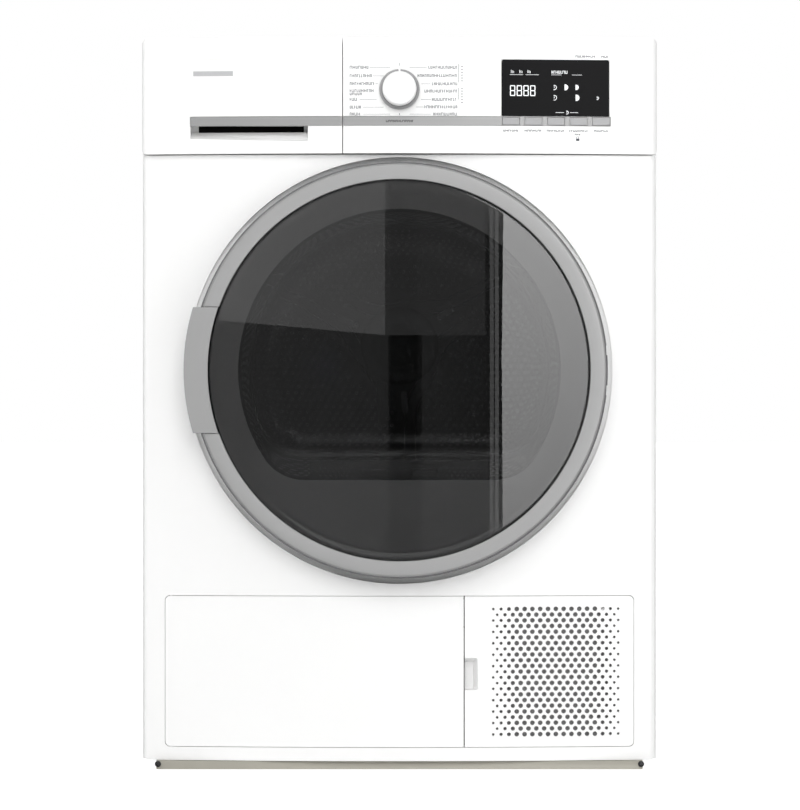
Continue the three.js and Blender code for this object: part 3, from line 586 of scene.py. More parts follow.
# ------------------------------------------------------------------ sizes that a user would change
class DryerSizes(bpy.types.PropertyGroup):
    """Sizes of the dryer's visible details, in metres."""

    bow: FloatProperty(name="Bow radius", description="Radius of the gently bowed front",
                       default=2.783, min=1.0, unit="LENGTH")
    edge: FloatProperty(name="Edge softness", description="Rounding of the moulded panel edges",
                        default=0.0009, min=0.0001, unit="LENGTH")
    recess_radius: FloatProperty(name="Door recess radius", description="Radius of the recess round the door",
                                 default=0.246, min=0.2, unit="LENGTH")
    crease_height: FloatProperty(name="Crease height", description="Height of the crease across the top band",
                                 default=0.8197, min=0.7, unit="LENGTH")
    grille_pitch: FloatProperty(name="Grille pitch", description="Distance between holes of a grille row",
                                default=0.00905, min=0.004, unit="LENGTH")
    drum_pitch: FloatProperty(name="Drum pitch", description="Distance between dimples of the drum back",
                              default=0.0104, min=0.005, unit="LENGTH")
    turn_steps: IntProperty(name="Turning steps", description="Facets round the door and the knob",
                            default=192, min=48, max=512)


class DryerLights(bpy.types.PropertyGroup):
    """Light and view of the dryer's stage."""

    room: FloatProperty(name="Room light", description="Strength of the even light from all round",
                        default=0.305, min=0.0)
    front: FloatProperty(name="Front light", description="Power of the large front light, in watts",
                         default=110.0, min=0.0)
    distance: FloatProperty(name="Camera distance", description="Camera to the front of the case",
                            default=3.5, min=1.0, unit="LENGTH")
    floor_glow: FloatProperty(name="Floor glow", description="Glow of the lit studio floor", default=0.85,
                              min=0.0)
    floor_colour: FloatVectorProperty(name="Floor colour", description="Colour of the plain pale floor",
                                      default=(0.9, 0.9, 0.9), size=3, subtype="COLOR", min=0.0, max=1.0)


def sizes():
    """The sizes in millimetres, by name."""
    group = bpy.context.scene.dryer_sizes
    return {
        "bow": group.bow * 1000, "edge": group.edge * 1000, "recess": group.recess_radius * 1000,
        "crease": group.crease_height * 1000, "grille": group.grille_pitch * 1000,
        "drum": group.drum_pitch * 1000, "steps": group.turn_steps,
    }


def band_strip(s, x0, x1, z0, z1, start, end, face=BAND_FACE, steps=48):
    """A strip that follows the bowed band, between two depths behind its face."""
    front = [(x, bow_at(x, face, s["bow"]) + start)
             for x in (x0 + (x1 - x0) * k / steps for k in range(steps + 1))]
    back = [(x, bow_at(x, face, s["bow"]) + end)
            for x in (x1 + (x0 - x1) * k / steps for k in range(steps + 1))]
    return slab(front + back, z0, z1)


# ------------------------------------------------------------------ case
class DRYER_OT_case(bpy.types.Operator):
    """Outer case: front panel, side panels, worktop, rear panel, duct cover, tray and feet"""

    bl_idname = "dryer.case"
    bl_label = "Case"

    def execute(self, context):
        s = sizes()
        self.front(s)
        self.sides()
        self.top()
        self.rear()
        self.base()
        return {"FINISHED"}

    def front(self, s):
        """The lower front panel with its door recess and kick opening."""
        x0, x1, z0, z1 = PANEL_LOW.x, PANEL_HIGH.x, PANEL_LOW.z, PANEL_HIGH.z
        back = MOULDING_BACK

        def outer(inset=0.0):
            return slab(bowed_plan(x0 + inset, x1 - inset, PANEL_FACE + inset, back, s["bow"], 7.5, 7.5, 72),
                        z0 + inset, z1 - inset)

        floor = -257.5
        blank = roll(outer(), lambda v: v.z < z0 + 0.05 and v.y < bow_at(v.x, PANEL_FACE, s["bow"]) + 6, 2.6)
        roll(blank, lambda v: v.z > z1 - 0.05 and v.y < bow_at(v.x, PANEL_FACE, s["bow"]) + 6, s["edge"], 3)
        body = common(blank, plate(soft_box(x0, x1, z0, z1, 6, 8), -300, -200))
        core = slab(bowed_plan(x0 + 2, x1 - 2, PANEL_FACE + 2, back + 8, s["bow"], 6, 6, 72), z0 + 2, z1 - 2)
        cut(body, core, rod(0, DOOR_Z, s["recess"] + 1, -290, -240, s["steps"]))
        kick = (-271.5, 271.5, 26.5, 201.6)
        cut(body, plate(soft_box(kick[0] - 1, kick[1] + 1, kick[2] - 1, kick[3] + 1, 7, 8), -290, back - 2))
        cup = common(cut(rod(0, DOOR_Z, s["recess"] + 2, -285, floor + 2, s["steps"]),
                         rod(0, DOOR_Z, s["recess"], -290, floor, s["steps"])), outer(0.06))
        rim = common(cut(plate(soft_box(kick[0] - 2, kick[1] + 2, kick[2] - 2, kick[3] + 2, 8, 8), -285,
                               back),
                         plate(soft_box(*kick, 6, 8), -290, -240)), outer(0.06))
        join(body, cup, rim)
        cut(body, plate(mouth(196, 137, 60), -290, -200, DOOR_Z))
        for side in (-1, 1):
            zc = DOOR_Z + side * 23
            cut(body, block(222.4, 233.6, -270, -250, zc - 6, zc + 6))
        cut(body, block(-214.5, -202.5, -270, -250, DOOR_Z - 10, DOOR_Z + 10))
        soften(body, 0)
        fit(body, "front_panel_body", "cabinet", "white_enamel", ["front_panel"])

    def sides(self):
        """Folded side panels with a shallow pressed field."""
        for side, node in ((-1, "left_side_panel"), (1, "right_side_panel")):
            ob = refined(node, 0, 1)
            x = 298.0 * side
            cut(ob, beam(soft_box(-205, 232, 70, 770, 26, 12), min(x, x - side * 0.7), max(x, x + side)))
            soften(ob, 0.35, 2, 40)
            fit(ob, node + "_body", "cabinet", "white_enamel", [node])

    def top(self):
        """Worktop board with rounded edges."""
        ob = refined("worktop", 0, 1)
        soften(ob, 2.2, 4, 50)
        fit(ob, "worktop_board", "cabinet", "white_moulding", ["worktop"])

    def rear(self):
        """Rear panel with pressed ribs and its duct cover."""
        ob = refined("rear_panel", 0, 1)
        low, high = span("rear_panel")
        ribs = []
        for k in range(3):
            z = high.z - 46 - 24 * k
            ribs.append(plate(soft_box(-250, 250, z, z + 12, 5.9, 8), high.y - 0.6, high.y + 3))
        cut(ob, bundle(ribs))
        louvres = []
        for k in range(9):
            z = 66 + 13 * k
            louvres.append(plate(soft_box(-262, -96, z, z + 5, 2.4, 5), low.y - 3, high.y + 3))
        cut(ob, bundle(louvres))
        soften(ob, 0.25, 1, 40)
        fit(ob, "rear_panel_sheet", "cabinet", "zinc_sheet", ["rear_panel"])
        cover = refined("rear_duct_cover", 0, 1)
        low, high = span("rear_duct_cover")
        cut(cover, cut(rod(0, DRUM_Z, 165, high.y - 0.9, high.y + 3, 120),
                       rod(0, DRUM_Z, 150, high.y - 3, high.y + 5, 120)),
            cut(rod(0, DRUM_Z, 104, high.y - 0.9, high.y + 3, 96),
                rod(0, DRUM_Z, 92, high.y - 3, high.y + 5, 96)))
        soften(cover, 2.4, 4, 50, 0.4)
        fit(cover, "rear_duct_cover_pressing", "cabinet", "zinc_sheet", ["rear_duct_cover"])
        refit("rear_bearing", "cabinet", "cast_metal", 0.6, 2)
        refit("cable_gland", "cabinet", "black_moulding", 0.5, 2)

    def base(self):
        """Moulded tray and levelling feet."""
        refit("base_tray", "cabinet", "beige_moulding", 0.6, 2)
        for end in ("front", "rear"):
            for side in ("left", "right"):
                node = f"foot_{end}_{side}"
                high = span(node)[1]
                c = middle(node)
                pad = turned([(0, 0), (12.6, 0), (14, 1.2), (14, 4.2), (12.9, 5.0), (12.9, 6.2), (14, 7.0),
                              (13.4, 9.4), (6.4, 10), (4.6, 10.4), (4.6, high.z - 0.8), (3.9, high.z),
                              (0, high.z)], c.x, 0, 48, "Z", c.y)
                grooves = []
                for k in range(8):
                    a = FULL * k / 8
                    grooves.append(upright(c.x + 14.6 * math.cos(a), c.y + 14.6 * math.sin(a), 1.5, 1.6, 12,
                                           10))
                cut(pad, bundle(grooves))
                fit(pad, node + "_body", node, "soft_rubber", [node])


# ------------------------------------------------------------------ drawer
class DRYER_OT_drawer(bpy.types.Operator):
    """Water drawer: its front with the finger recess, its trim and the tank"""

    bl_idname = "dryer.drawer"
    bl_label = "Water drawer"

    def execute(self, context):
        s = sizes()
        low, high = span("drawer_front")
        back = MOULDING_BACK
        body = slab(bowed_plan(low.x, high.x, BAND_FACE, back, s["bow"], 9, 0, 40), low.z, high.z)
        common(body, plate(soft_box(low.x, -low.x, low.z, high.z, 6, 8), -300, -200))
        cut(body, slab(bowed_plan(low.x + 2.5, high.x - 2.5, BAND_FACE + 2.5, back + 6, s["bow"], 7, 0, 40),
                       low.z + 2.5, high.z - 2.5))
        pocket = common(block(-246, -101, -268, -238, 715, 762),
                        slab(bowed_plan(-246, -101, BAND_FACE + 1, -237, s["bow"]), 714, 763))
        join(body, pocket)
        shape = [(-290, 720.5), (-262, 730.2), (-244, 737), (-244, 758), (-262, 758), (-262, 743.8),
                 (-290, 743.8)]
        cut(body, beam(shape, -241.4, -105.4))
        cut(body, band_strip(s, -242, -60, STRIP_LOW - 0.2, STRIP_HIGH + 0.4, -5, 1.5))
        cut(body, band_strip(s, -241.4, -60, s["crease"], s["crease"] + 0.7, -1, 0.5))
        soften(body, s["edge"] * 0.6, 3, 40)
        fit(body, "drawer_front_moulding", "water_drawer", "white_moulding",
            ["drawer_front"])
        low, high = span("drawer_trim")
        trim = band_strip(s, low.x, high.x, low.z, high.z, -0.4, 1.2)
        soften(trim, 0.25, 2, 40)
        fit(trim, "drawer_trim_strip", "water_drawer", "grey_lacquer", ["drawer_trim"])
        # black sheet at the back of the finger recess: painted shadow for the dark mouth of the slot
        shadow = plate(soft_box(-233, -111, 737.3, 757.5, 1.0, 3), -244.6, -244.1)
        fit(shadow, "drawer_recess_painted_shadow", "water_drawer", "painted_shade_black")
        # shallow ramp that leads the fingers into the slot
        steps, ramp_low, ramp_high = 24, [], []
        for k in range(steps + 1):
            x = -241.2 + 135.6 * k / steps
            face_y = bow_at(x, BAND_FACE, s["bow"])
            ramp_low.append((x, face_y + 0.7, 720.7))
            ramp_high.append((x, min(face_y + 18.0, -245.0), 737.2))
        fit(sheet(ramp_low, ramp_high, 0.8), "drawer_recess_ramp", "water_drawer", "white_moulding")
        refit("water_tank", "water_drawer", "milky_moulding", 1.6, 3)
        # plain raised badge without any lettering
        badge = band_strip(s, -238, -192, 801.0, 806.6, -0.35, 0.4)
        soften(badge, 0.15, 2, 40)
        fit(badge, "blank_badge", "water_drawer", "print_pale")
        return {"FINISHED"}


# ------------------------------------------------------------------ control panel
def printed(s, cells, depth=0.12, face=BAND_FACE, lift=0.06):
    """Small printed cells (x0, x1, z0, z1) laid on the bowed band."""
    bm = bmesh.new()
    for x0, x1, z0, z1 in cells:
        y0, y1 = bow_at(x0, face, s["bow"]), bow_at(x1, face, s["bow"])
        verts = [bm.verts.new(p) for p in ((x0, y0 - lift, z0), (x1, y1 - lift, z0),
                                           (x1, y1 - lift, z1), (x0, y0 - lift, z1))]
        made = bmesh.ops.extrude_face_region(bm, geom=[bm.faces.new(verts)])
        moved = [g for g in made["geom"] if isinstance(g, bmesh.types.BMVert)]
        bmesh.ops.translate(bm, vec=(0, depth, 0), verts=moved)
    return keep(bm)


def greeked(rng, x0, x1, z, height, gap=0.75):
    """A row of blocks that stands for a printed word."""
    cells, x = [], x0
    while x < x1 - 0.8:
        width = min(rng.choice((1.5, 2.0, 2.4, 2.7)), x1 - x)
        stem = 0.6
        cells.append((x, x + stem, z, z + height))
        if width > 1.6:
            cells.append((x + width - stem, x + width, z, z + height))
        level = rng.choice((0.0, 0.5, 1.0))
        zz = z + (height - stem) * level
        cells.append((x + stem, x + width - (stem if width > 1.6 else 0.0), zz, zz + stem))
        x += width + gap
    return cells


def bar(x0, x1, z, thick=0.34):
    """A thin printed line."""
    return (x0, x1, z - thick / 2, z + thick / 2)


class DRYER_OT_control_panel(bpy.types.Operator):
    """Control panel: fascia, trim, display, keys, selector and printed marks"""

    bl_idname = "dryer.control_panel"
    bl_label = "Control panel"

    def execute(self, context):
        s = sizes()
        self.fascia(s)
        self.display(s)
        self.keys()
        self.selector(s)
        self.marks(s)
        return {"FINISHED"}

    def fascia(self, s):
        """Right-hand control panel moulding and its grey strip."""
        low, high = BAND_LOW, BAND_HIGH
        back = MOULDING_BACK
        body = slab(bowed_plan(low.x, high.x, BAND_FACE, back, s["bow"], 0, 9, 56), low.z, high.z)
        common(body, plate(soft_box(-high.x, high.x, low.z, high.z, 6, 8), -300, -200))
        cut(body, slab(bowed_plan(low.x + 2.5, high.x - 2.5, BAND_FACE + 2.5, back + 6, s["bow"], 0, 7, 56),
                       low.z + 2.5, high.z - 2.5))
        wl, wh = span("display_window")
        cut(body, band_strip(s, -66, 244.0, STRIP_LOW - 0.2, STRIP_HIGH + 0.4, -5, 1.5))
        cut(body, band_strip(s, wl.x - 0.3, 242.6, STRIP_HIGH, wh.z + 0.3, -5, 1.6))
        cut(body, block(120, 239.6, -285, -255, wl.z + 2.4, wh.z - 2.4))
        cut(body, block(117.4, 242.9, -285, -255, 744, 753.2))
        cut(body, rod(0, KNOB_Z, 4, -285, -265, 32))
        cut(body, band_strip(s, -66, wl.x - 0.5, s["crease"], s["crease"] + 0.7, -1, 0.5))
        soften(body, s["edge"] * 0.8, 3, 40)
        fit(body, "control_fascia_moulding", "cabinet", "white_moulding", ["control_fascia"])
        low, high = span("fascia_trim")
        trim = band_strip(s, low.x, high.x, low.z, high.z, -0.4, 1.2)
        holes = []
        for name in KEY_NAMES:
            c = middle(name)
            holes.append(block(c.x - 10.1, c.x + 10.1, -285, -255, 744.0, 753.2))
        cut(trim, bundle(holes))
        soften(trim, 0.22, 2, 40)
        fit(trim, "fascia_trim_strip", "cabinet", "grey_lacquer", ["fascia_trim"])

    def display(self, s):
        """Smoked display window with its lit signs."""
        low, high = span("display_window")
        window = common(band_strip(s, low.x, high.x, low.z, high.z, 0.05, 1.3),
                        plate(soft_box(low.x, high.x, low.z - 10, high.z, 2.2, 6), -290, -260))
        soften(window, 0.35, 3, 40)
        fit(window, "display_window_lens", "cabinet", "display_black", ["display_window"])
        cells = []
        for k in range(4):
            x, z, w, h, t = 127.2 + 7.75 * k, 777.6, 6.2, 12.4, 1.15
            m = (h - t) / 2
            cells += [(x + 0.4, x + w - 0.4, z, z + t), (x + 0.4, x + w - 0.4, z + m, z + m + t),
                      (x + 0.4, x + w - 0.4, z + h - t, z + h)]
            for xx in (x, x + w - t):
                cells += [(xx, xx + t, z + 0.7, z + m), (xx, xx + t, z + m + t, z + h - 0.7)]
        cells += [bar(127, 160.5, 802.2, 0.4), bar(175, 210.5, 802.2, 0.4), bar(180, 189.5, 758.8, 0.5),
                  bar(196.5, 206, 758.8, 0.5)]
        cells += greeked(random.Random(4), 175.2, 194, 803.6, 3.4, 0.6)
        for x in (128.4, 138.2, 147.6):
            cells += [(x, x + 0.6, 804, 807.6), (x + 1.4, x + 2.0, 804, 807.0),
                      (x + 2.8, x + 3.4, 804, 806.4)]
        fit(printed(s, cells, 0.1, BAND_FACE, 0.0), "display_signs", "cabinet", "lit_segments")
        dots = []
        for x, z, r, hollow in ((178.4, 787.6, 2.9, True), (191.0, 787.9, 3.5, False),
                                (203.6, 787.9, 3.1, False),
                                (178.4, 775.8, 3.1, True), (203.8, 775.9, 3.7, False),
                                (228.2, 775.6, 1.9, True),
                                (193.0, 758.8, 2.1, True)):
            y = bow_at(x, BAND_FACE, s["bow"])
            disc = rod(x, z, r, y - 0.0, y + 0.1, 24)
            if hollow:
                disc = cut(disc, rod(x, z, r - 0.7, y - 1, y + 1, 24))
            dots.append(disc)
            if hollow:
                dots.append(block(x - 0.3, x + 0.3, y - 0.0, y + 0.1, z - r * 0.2, z + r * 0.55))
        fit(bundle(dots), "display_symbols", "cabinet", "lit_segments")

    def keys(self):
        """Five keys in the strip."""
        for k, name in enumerate(KEY_NAMES):
            ob = refined(name, 0, 1)
            soften(ob, 0.45, 3, 40)
            fit(ob, name + "_cap", f"button_{k + 1}", "key_lacquer", [name])

    def selector(self, s):
        """Selector with a white cap, a grey skirt and a pointer gap."""
        steps = s["steps"]
        cap = turned([(0, -298.1), (14.5, -298.15), (17.4, -298.0), (18.6, -297.4), (19.2, -296.2),
                      (19.5, -294),
                      (19.8, -284.4), (19.6, -283.6), (3, -283.6), (3, -255), (0, -255)], 0, KNOB_Z, steps)
        fit(cap, "selector_cap", "selector", "knob_cap", ["selector_knob"], 50)
        skirt = turned([(20.0, -284.6), (20.5, -285.3), (21.6, -284.2), (22.9, -281.9), (23.2, -280.8),
                        (23.2, -278.3), (22.8, -277.8), (17, -277.8), (17, -283.2), (19.9, -283.2)],
                       0, KNOB_Z, steps)
        cut(skirt, block(-1.25, 1.25, -290, -270, KNOB_Z + 15, KNOB_Z + 26))
        soften(skirt, 0.2, 1, 60)
        fit(skirt, "selector_skirt", "selector", "knob_skirt")
        pointer = block(-1.05, 1.05, -284.9, -278.0, KNOB_Z + 17.2, KNOB_Z + 22.9)
        soften(pointer, 0.3, 2, 40)
        fit(pointer, "selector_pointer", "selector", "knob_cap")

    def marks(self, s):
        """Printed marks: stand-in words, leader lines and dial numbers without any wording."""
        rng = random.Random(11)
        pale, dark, lines = [], [], []
        left = [(810.4, 22.0, 369.5, 390.0), (800.6, 25.5, 373.3, 383.6), (791.6, 28.0, 375.5, 378.0),
                (783.4, 28.0, 0, 0), (773.6, 8.5, 359.7, 376.6), (764.6, 13.2, 363.0, 383.6),
                (756.6, 12.8, 363.2, 390.0)]
        right = [(810.4, 33.0, 409.6, 426.7), (800.8, 45.6, 0, 0), (791.4, 29.0, 421.5, 430.4),
                 (783.0, 37.6, 0, 0), (773.4, 29.0, 421.0, 431.0), (764.8, 37.6, 416.0, 423.7),
                 (756.6, 27.5, 409.6, 430.8)]
        scale = 1.1506
        for z, width, a, b in left:
            dark += greeked(rng, -57.2, -57.2 + width, z - 1.7, 3.3)
            if b:
                lines.append(bar((a - 399.5) * scale, (b - 399.5) * scale, z - 0.2))
        dark += greeked(rng, -57.2, -43.5, 778.2, 2.8)
        for z, width, a, b in right:
            dark += greeked(rng, 66.4 - width, 66.4, z - 1.7, 3.3)
            if b:
                lines.append(bar((a - 399.5) * scale, (b - 399.5) * scale, z - 0.2))
        lines += [(68.0, 68.55, 792.8, 814.2), (68.0, 68.55, 773.2, 786.8), (-0.2, 0.2, 812.2, 815.6),
                  (-0.25, 0.25, 755.2, 757.4)]
        for k in range(6):
            lines.append((70.6, 73.2, 794.4 + 3.3 * k, 794.4 + 3.3 * k + 0.7))
            lines.append((70.6, 73.2, 769.4 + 3.3 * k, 769.4 + 3.3 * k + 0.7))
        for k, name in enumerate(KEY_NAMES):
            c = middle(name)
            half = (8.6, 10.2, 10.6, 10.6, 8.2)[k]
            pale += greeked(rng, c.x - half, c.x + half, 736.6, 2.2, 0.6)
        pale += greeked(rng, 202.2, 208.4, 732.6, 1.8, 0.5)
        pale += [(203.6, 207.4, 726.2, 728.9), (204.0, 204.5, 728.9, 730.8), (206.5, 207.0, 728.9, 730.8),
                 (204.0, 207.0, 730.6, 731.1)]
        pale += greeked(rng, 203, 226, 822.4, 2.4, 0.6) + greeked(rng, 233, 240.5, 822.4, 2.4, 0.6)
        fit(printed(s, dark), "programme_marks", "cabinet", "print_grey")
        fit(printed(s, lines), "leader_lines", "cabinet", "print_grey")
        fit(printed(s, pale), "key_marks", "cabinet", "print_grey")
        strip = greeked(rng, -15.6, 15.8, 747.2, 2.5, 0.5)
        fit(printed(s, strip, 0.12, BAND_FACE - 0.4), "strip_marks", "cabinet", "print_black")


# ------------------------------------------------------------------ kick plate and grille
class DRYER_OT_kick(bpy.types.Operator):
    """Kick plate and the air grille with its graded holes"""

    bl_idname = "dryer.kick"
    bl_label = "Kick plate and grille"

    def execute(self, context):
        s = sizes()
        face = PANEL_FACE
        plate_low, plate_high = span("kick_plate")
        low, high = span("grille_panel")
        z0, z1 = low.z, high.z

        def skin(x0, x1):
            body = slab(bowed_plan(x0, x1, face + 0.2, MOULDING_BACK + 2, s["bow"], 0, 0, 40), z0, z1)
            cut(body, slab(bowed_plan(x0 - 1, x1 + 1, face + 2.5, MOULDING_BACK + 6, s["bow"], 0, 0, 40),
                           z0 - 1, z1 + 1))
            return common(body, plate(soft_box(-271, 271, z0, z1, 5.6, 8), -300, -200))

        flap = skin(plate_low.x, plate_high.x)
        x1 = plate_high.x
        for rib in ((-262, x1, z0, z0 + 1.7), (-262, x1, z1 - 1.7, z1), (x1 - 1.7, x1, z0, 92),
                    (x1 - 1.7, x1, 131, z1)):
            tool = block(rib[0], rib[1], -275, -248.5, rib[2], rib[3])
            join(flap, common(tool, slab(bowed_plan(plate_low.x, x1, face + 1.2, MOULDING_BACK, s["bow"]),
                                         z0, z1)))
        soften(flap, s["edge"] * 0.7, 2, 40)
        fit(flap, "kick_plate_flap", "kick_door", "white_moulding", ["kick_plate"])
        pins = bundle([upright(-264, -255.9, 1, 24.9, z0 + 2, 16),
                       upright(-264, -255.9, 1, z1 - 2, 203.2, 16)])
        fit(pins, "kick_plate_pins", "kick_door", "white_moulding")

        grille = skin(low.x, high.x)
        rim = cut(plate(soft_box(low.x, high.x, z0, z1, 3, 5), -285, MOULDING_BACK),
                  plate(soft_box(low.x + 2, high.x - 2, z0 + 2, z1 - 2, 2, 5), -290, -240))
        rim = common(rim, slab(bowed_plan(low.x, high.x, face + 1.2, MOULDING_BACK, s["bow"]), z0, z1))
        join(grille, common(rim, plate(soft_box(-271, 271, z0, z1, 5.6, 8), -300, -200)))
        sizes_by_column = (3.0, 3.1, 3.7, 4.0, 4.6, 4.9)
        holes = []
        pitch, first, row_pitch = s["grille"], 108.2, 6.57
        for row in range(23):
            odd = row % 2
            for column in range(16 if odd else 17):
                at = column + 0.5 * odd
                edge = min(at, 16 - at)
                step = int(round(edge * 2))
                size = sizes_by_column[step] if step < 6 else 5.5
                x = first + at * pitch
                holes.append(plate(arc(x, 186.2 - row * row_pitch, size / 2, 0, FULL, 14)[:-1], -275, -250))
        cut(grille, bundle(holes))
        cut(grille, block(low.x - 5, 91.5, -290, -240, 92, 131))
        scoop = common(block(low.x, 93.5, -270, -247.5, 91, 133),
                       slab(bowed_plan(low.x, high.x, face + 0.2, MOULDING_BACK, s["bow"]), z0, z1))
        dish = through([[(x, -276, z) for x, z in soft_box(60, 91.2, 92.2, 130.8, 3.2, 6)],
                        [(x, -268, z) for x, z in soft_box(60, 90.6, 92.8, 130.0, 3.0, 6)],
                        [(x, -258, z) for x, z in soft_box(60, 85.4, 93.6, 124.6, 1.6, 6)]])
        join(grille, cut(scoop, dish))
        soften(grille, 0)
        screen = slab(bowed_plan(100, 262, face + 5.2, face + 6.2, s["bow"], 0, 0, 24)[:-2]
                      + [(x, y + 1.0) for x, y in reversed(bowed_plan(100, 262, face + 5.2, face + 6.2,
                                                                      s["bow"],
                                                                      0, 0, 24)[:-2])], 34, 194)
        fit(screen, "grille_screen", "cabinet", "screen_felt")
        fit(grille, "grille_panel_moulding", "cabinet", "white_moulding", ["grille_panel"])
        return {"FINISHED"}


# ------------------------------------------------------------------ door
class DRYER_OT_door(bpy.types.Operator):
    """Door: ring, smoked glass, inner frame, clear bowl, handle, hook, hinge and seal"""

    bl_idname = "dryer.door"
    bl_label = "Door"

    def sweep(self):
        """The space that the fixed hinge arms pass through as the door turns."""
        tools = []
        for side in (-1, 1):
            z0, z1 = DOOR_Z + side * 23 - 5.7, DOOR_Z + side * 23 + 5.7
            fan = [(HINGE_X, HINGE_Y)] + arc(HINGE_X, HINGE_Y, 34, -0.9, 1.66, 24)
            tool = slab(fan, z0, z1)
            for a in (math.pi / 2, -0.73):
                n = Vector((-math.sin(a), math.cos(a))) * 4.7
                c = Vector((HINGE_X, HINGE_Y))
                e = c + Vector((math.cos(a), math.sin(a))) * 34
                tool = join(tool, slab([tuple(c - n), tuple(e - n), tuple(e + n), tuple(c + n)], z0, z1))
            tools.append(join(tool, upright(HINGE_X, HINGE_Y, 6.7, z0, z1, 40)))
        return bundle(tools)

    def edge_trim(self):
        """The rounded clearance at the hinge side of the rim."""
        return cut(block(HINGE_X, 260, -284, -250, DOOR_Z - 90, DOOR_Z + 90),
                   upright(HINGE_X, HINGE_Y, 25, DOOR_Z - 91, DOOR_Z + 91, 96))

    def execute(self, context):
        s = sizes()
        steps = s["steps"]
        z = DOOR_Z
        # face ring and the side ring behind it, with a fine groove between them; the side ring is coloured
        # darker as painted shade
        self.ring_part(steps, "door_ring_face", "grey_lacquer",
                       [(218.5, -299.4), (219.1, -300.05), (226, -300.4), (233.6, -300.5), (235.4, -300.2),
                        (236.3, -299.5), (236.6, -298.7), (236.4, -297.6), (235.4, -296.8), (234.8, -296.4),
                        (218.5, -296.4)], ["door_ring"], False)
        self.ring_part(steps, "door_ring_side", "ring_side_painted_shade",
                       [(235.5, -296.3), (236.6, -297.1), (237.4, -297.2), (238.4, -296.2), (239.4, -284),
                        (240.9, -259.2), (240.6, -258.7), (238.6, -258.7)], (), True)

        profile = []
        for r in [10.75 * k for k in range(20)] + [210.5, 214.9, 215.4]:
            profile.append((r, -304.5 + 4.7 * (r / 215.5) ** 2))
        profile += [(216.7, -299.5), (217.5, -298.9), (217.8, -298.2), (217.8, -294.8), (217.4, -294.4),
                    (206, -294.4)]
        for k in range(1, 17):
            r = 206 * (1 - k / 16)
            profile.append((r, -294.4 - 5.8 * (1 - (r / 206) ** 2)))
        glass = turned(profile, 0, z, steps)
        fit(glass, "door_glass_pane", "door", "smoked_glass", ["door_glass"], 60, False)

        frame_body = join(rod(0, z, 217.3, -294, -261, steps), rod(0, z, 236.5, -262.1, -259.6, steps))
        cut(frame_body, plate(mouth(185, 126, 55), -300, -250, z))
        cut(frame_body, self.sweep(), self.edge_trim())
        cut(frame_body, common(cut(rod(0, z, 252, -296, -256, 96), rod(0, z, 224.3, -300, -250, steps)),
                               block(-260, 0, -300, -250, z - 66, z + 66)))
        ledge = cut(plate(mouth(185.5, 126.5, 55), -287.6, -285.4, z),
                    plate(mouth(181.5, 122.5, 53), -290, -280, z))
        join(frame_body, ledge)
        for z0, z1 in ((-16.6, 16.6), (29.4, 38), (-38, -29.4)):
            join(frame_body, join(block(212.5, HINGE_X, -288, -278, z + z0, z + z1),
                                  upright(HINGE_X, HINGE_Y, 4.3, z + z0, z + z1, 32)))
        cut(frame_body, upright(HINGE_X, HINGE_Y, 2.75, z - 36.4, z + 36.4, 24))
        soften(frame_body, 0.8, 3, 40)
        fit(frame_body, "door_inner_frame_moulding", "door", "smoke_moulding",
            ["door_inner_frame"])
        self.border(steps)
        self.bowl()
        self.handle(s)
        refit("door_hook", "door", "bright_steel", 0.5, 2)
        pin = upright(HINGE_X, HINGE_Y, 2.5, z - 36, z + 36, 32)
        soften(pin, 0.5, 2, 40)
        fit(pin, "hinge_pin_rod", "door", "bright_steel", ["hinge_pin"])
        refit("hinge_bracket", "cabinet", "bright_steel", 0.5, 2)
        refit("door_lock", "cabinet", "black_moulding", 0.8, 2)
        seal = cut(plate(mouth(194.4, 135.4, 59), -259.2, -251.4, z),
                   plate(mouth(187, 128, 56), -265, -245, z))
        soften(seal, 1.9, 4, 40)
        fit(seal, "door_seal_ring", "cabinet", "soft_rubber", ["door_seal"])
        return {"FINISHED"}

    def ring_part(self, steps, name, look, profile, nodes, walled):
        """One part of the ring, with the grip and hinge spaces taken out of it."""
        z = DOOR_Z
        part = turned(profile, 0, z, steps)
        cut(part, common(cut(rod(0, z, 252, -296.3, -256, 96), rod(0, z, 224, -300, -250, steps)),
                         block(-260, 0, -300, -250, z - 66, z + 66)))
        cut(part, common(cut(rod(0, z, 252, -305, -296.2, 96), rod(0, z, 210, -310, -290, 96)),
                         block(-260, 0, -310, -290, z - 72.6, z + 72.6)))
        if walled:
            wall = common(cut(rod(0, z, 224, -296.3, -262.5, steps), rod(0, z, 221.5, -300, -250, steps)),
                          block(-260, 0, -300, -250, z - 72.4, z + 72.4))
            join(part, wall)
            for z0, z1 in ((66, 72.4), (-72.4, -66)):
                end = common(cut(rod(0, z, 236.8, -296.6, -262.5, steps),
                                 rod(0, z, 221.5, -300, -250, steps)),
                             block(-260, 0, -300, -250, z + z0, z + z1))
                join(part, end)
        cut(part, self.sweep(), self.edge_trim())
        soften(part, 0.3, 2, 45)
        fit(part, name, "door", look, nodes)

    def border(self, steps):
        """Printed border behind the glass: a grey field round the mouth, and a black outer edge that is
        painted shadow for the gap between glass and ring.
        """
        z = DOOR_Z
        behind = [(r, -294.4 - 5.8 * (1 - (r / 206) ** 2) + 0.12) for r in range(118, 206, 4)]
        front = behind + [(206, -294.26), (216.2, -294.26)]
        skin = turned(front + [(r, y + 0.2) for r, y in reversed(front)], 0, z, steps)
        cut(skin, plate(mouth(184.6, 125.6, 54.8), -310, -280, z))
        fit(skin, "door_glass_border", "door", "glass_border", (), 60, False)
        # black ring at the glass edge: painted shadow for the shaded gap between the glass and the ring
        edge = cut(rod(0, z, 217.7, -294.3, -294.02, steps), rod(0, z, 216.4, -300, -290, steps))
        fit(edge, "door_glass_edge_painted_shadow", "door", "painted_shade_black", (), 60, False)

    def bowl(self):
        """Clear bowl with a flange, a tapering wall and a flat back."""

        def loop(r, f, c, y):
            return [(x, y, zz + DOOR_Z) for x, zz in mouth(r, f, c)]

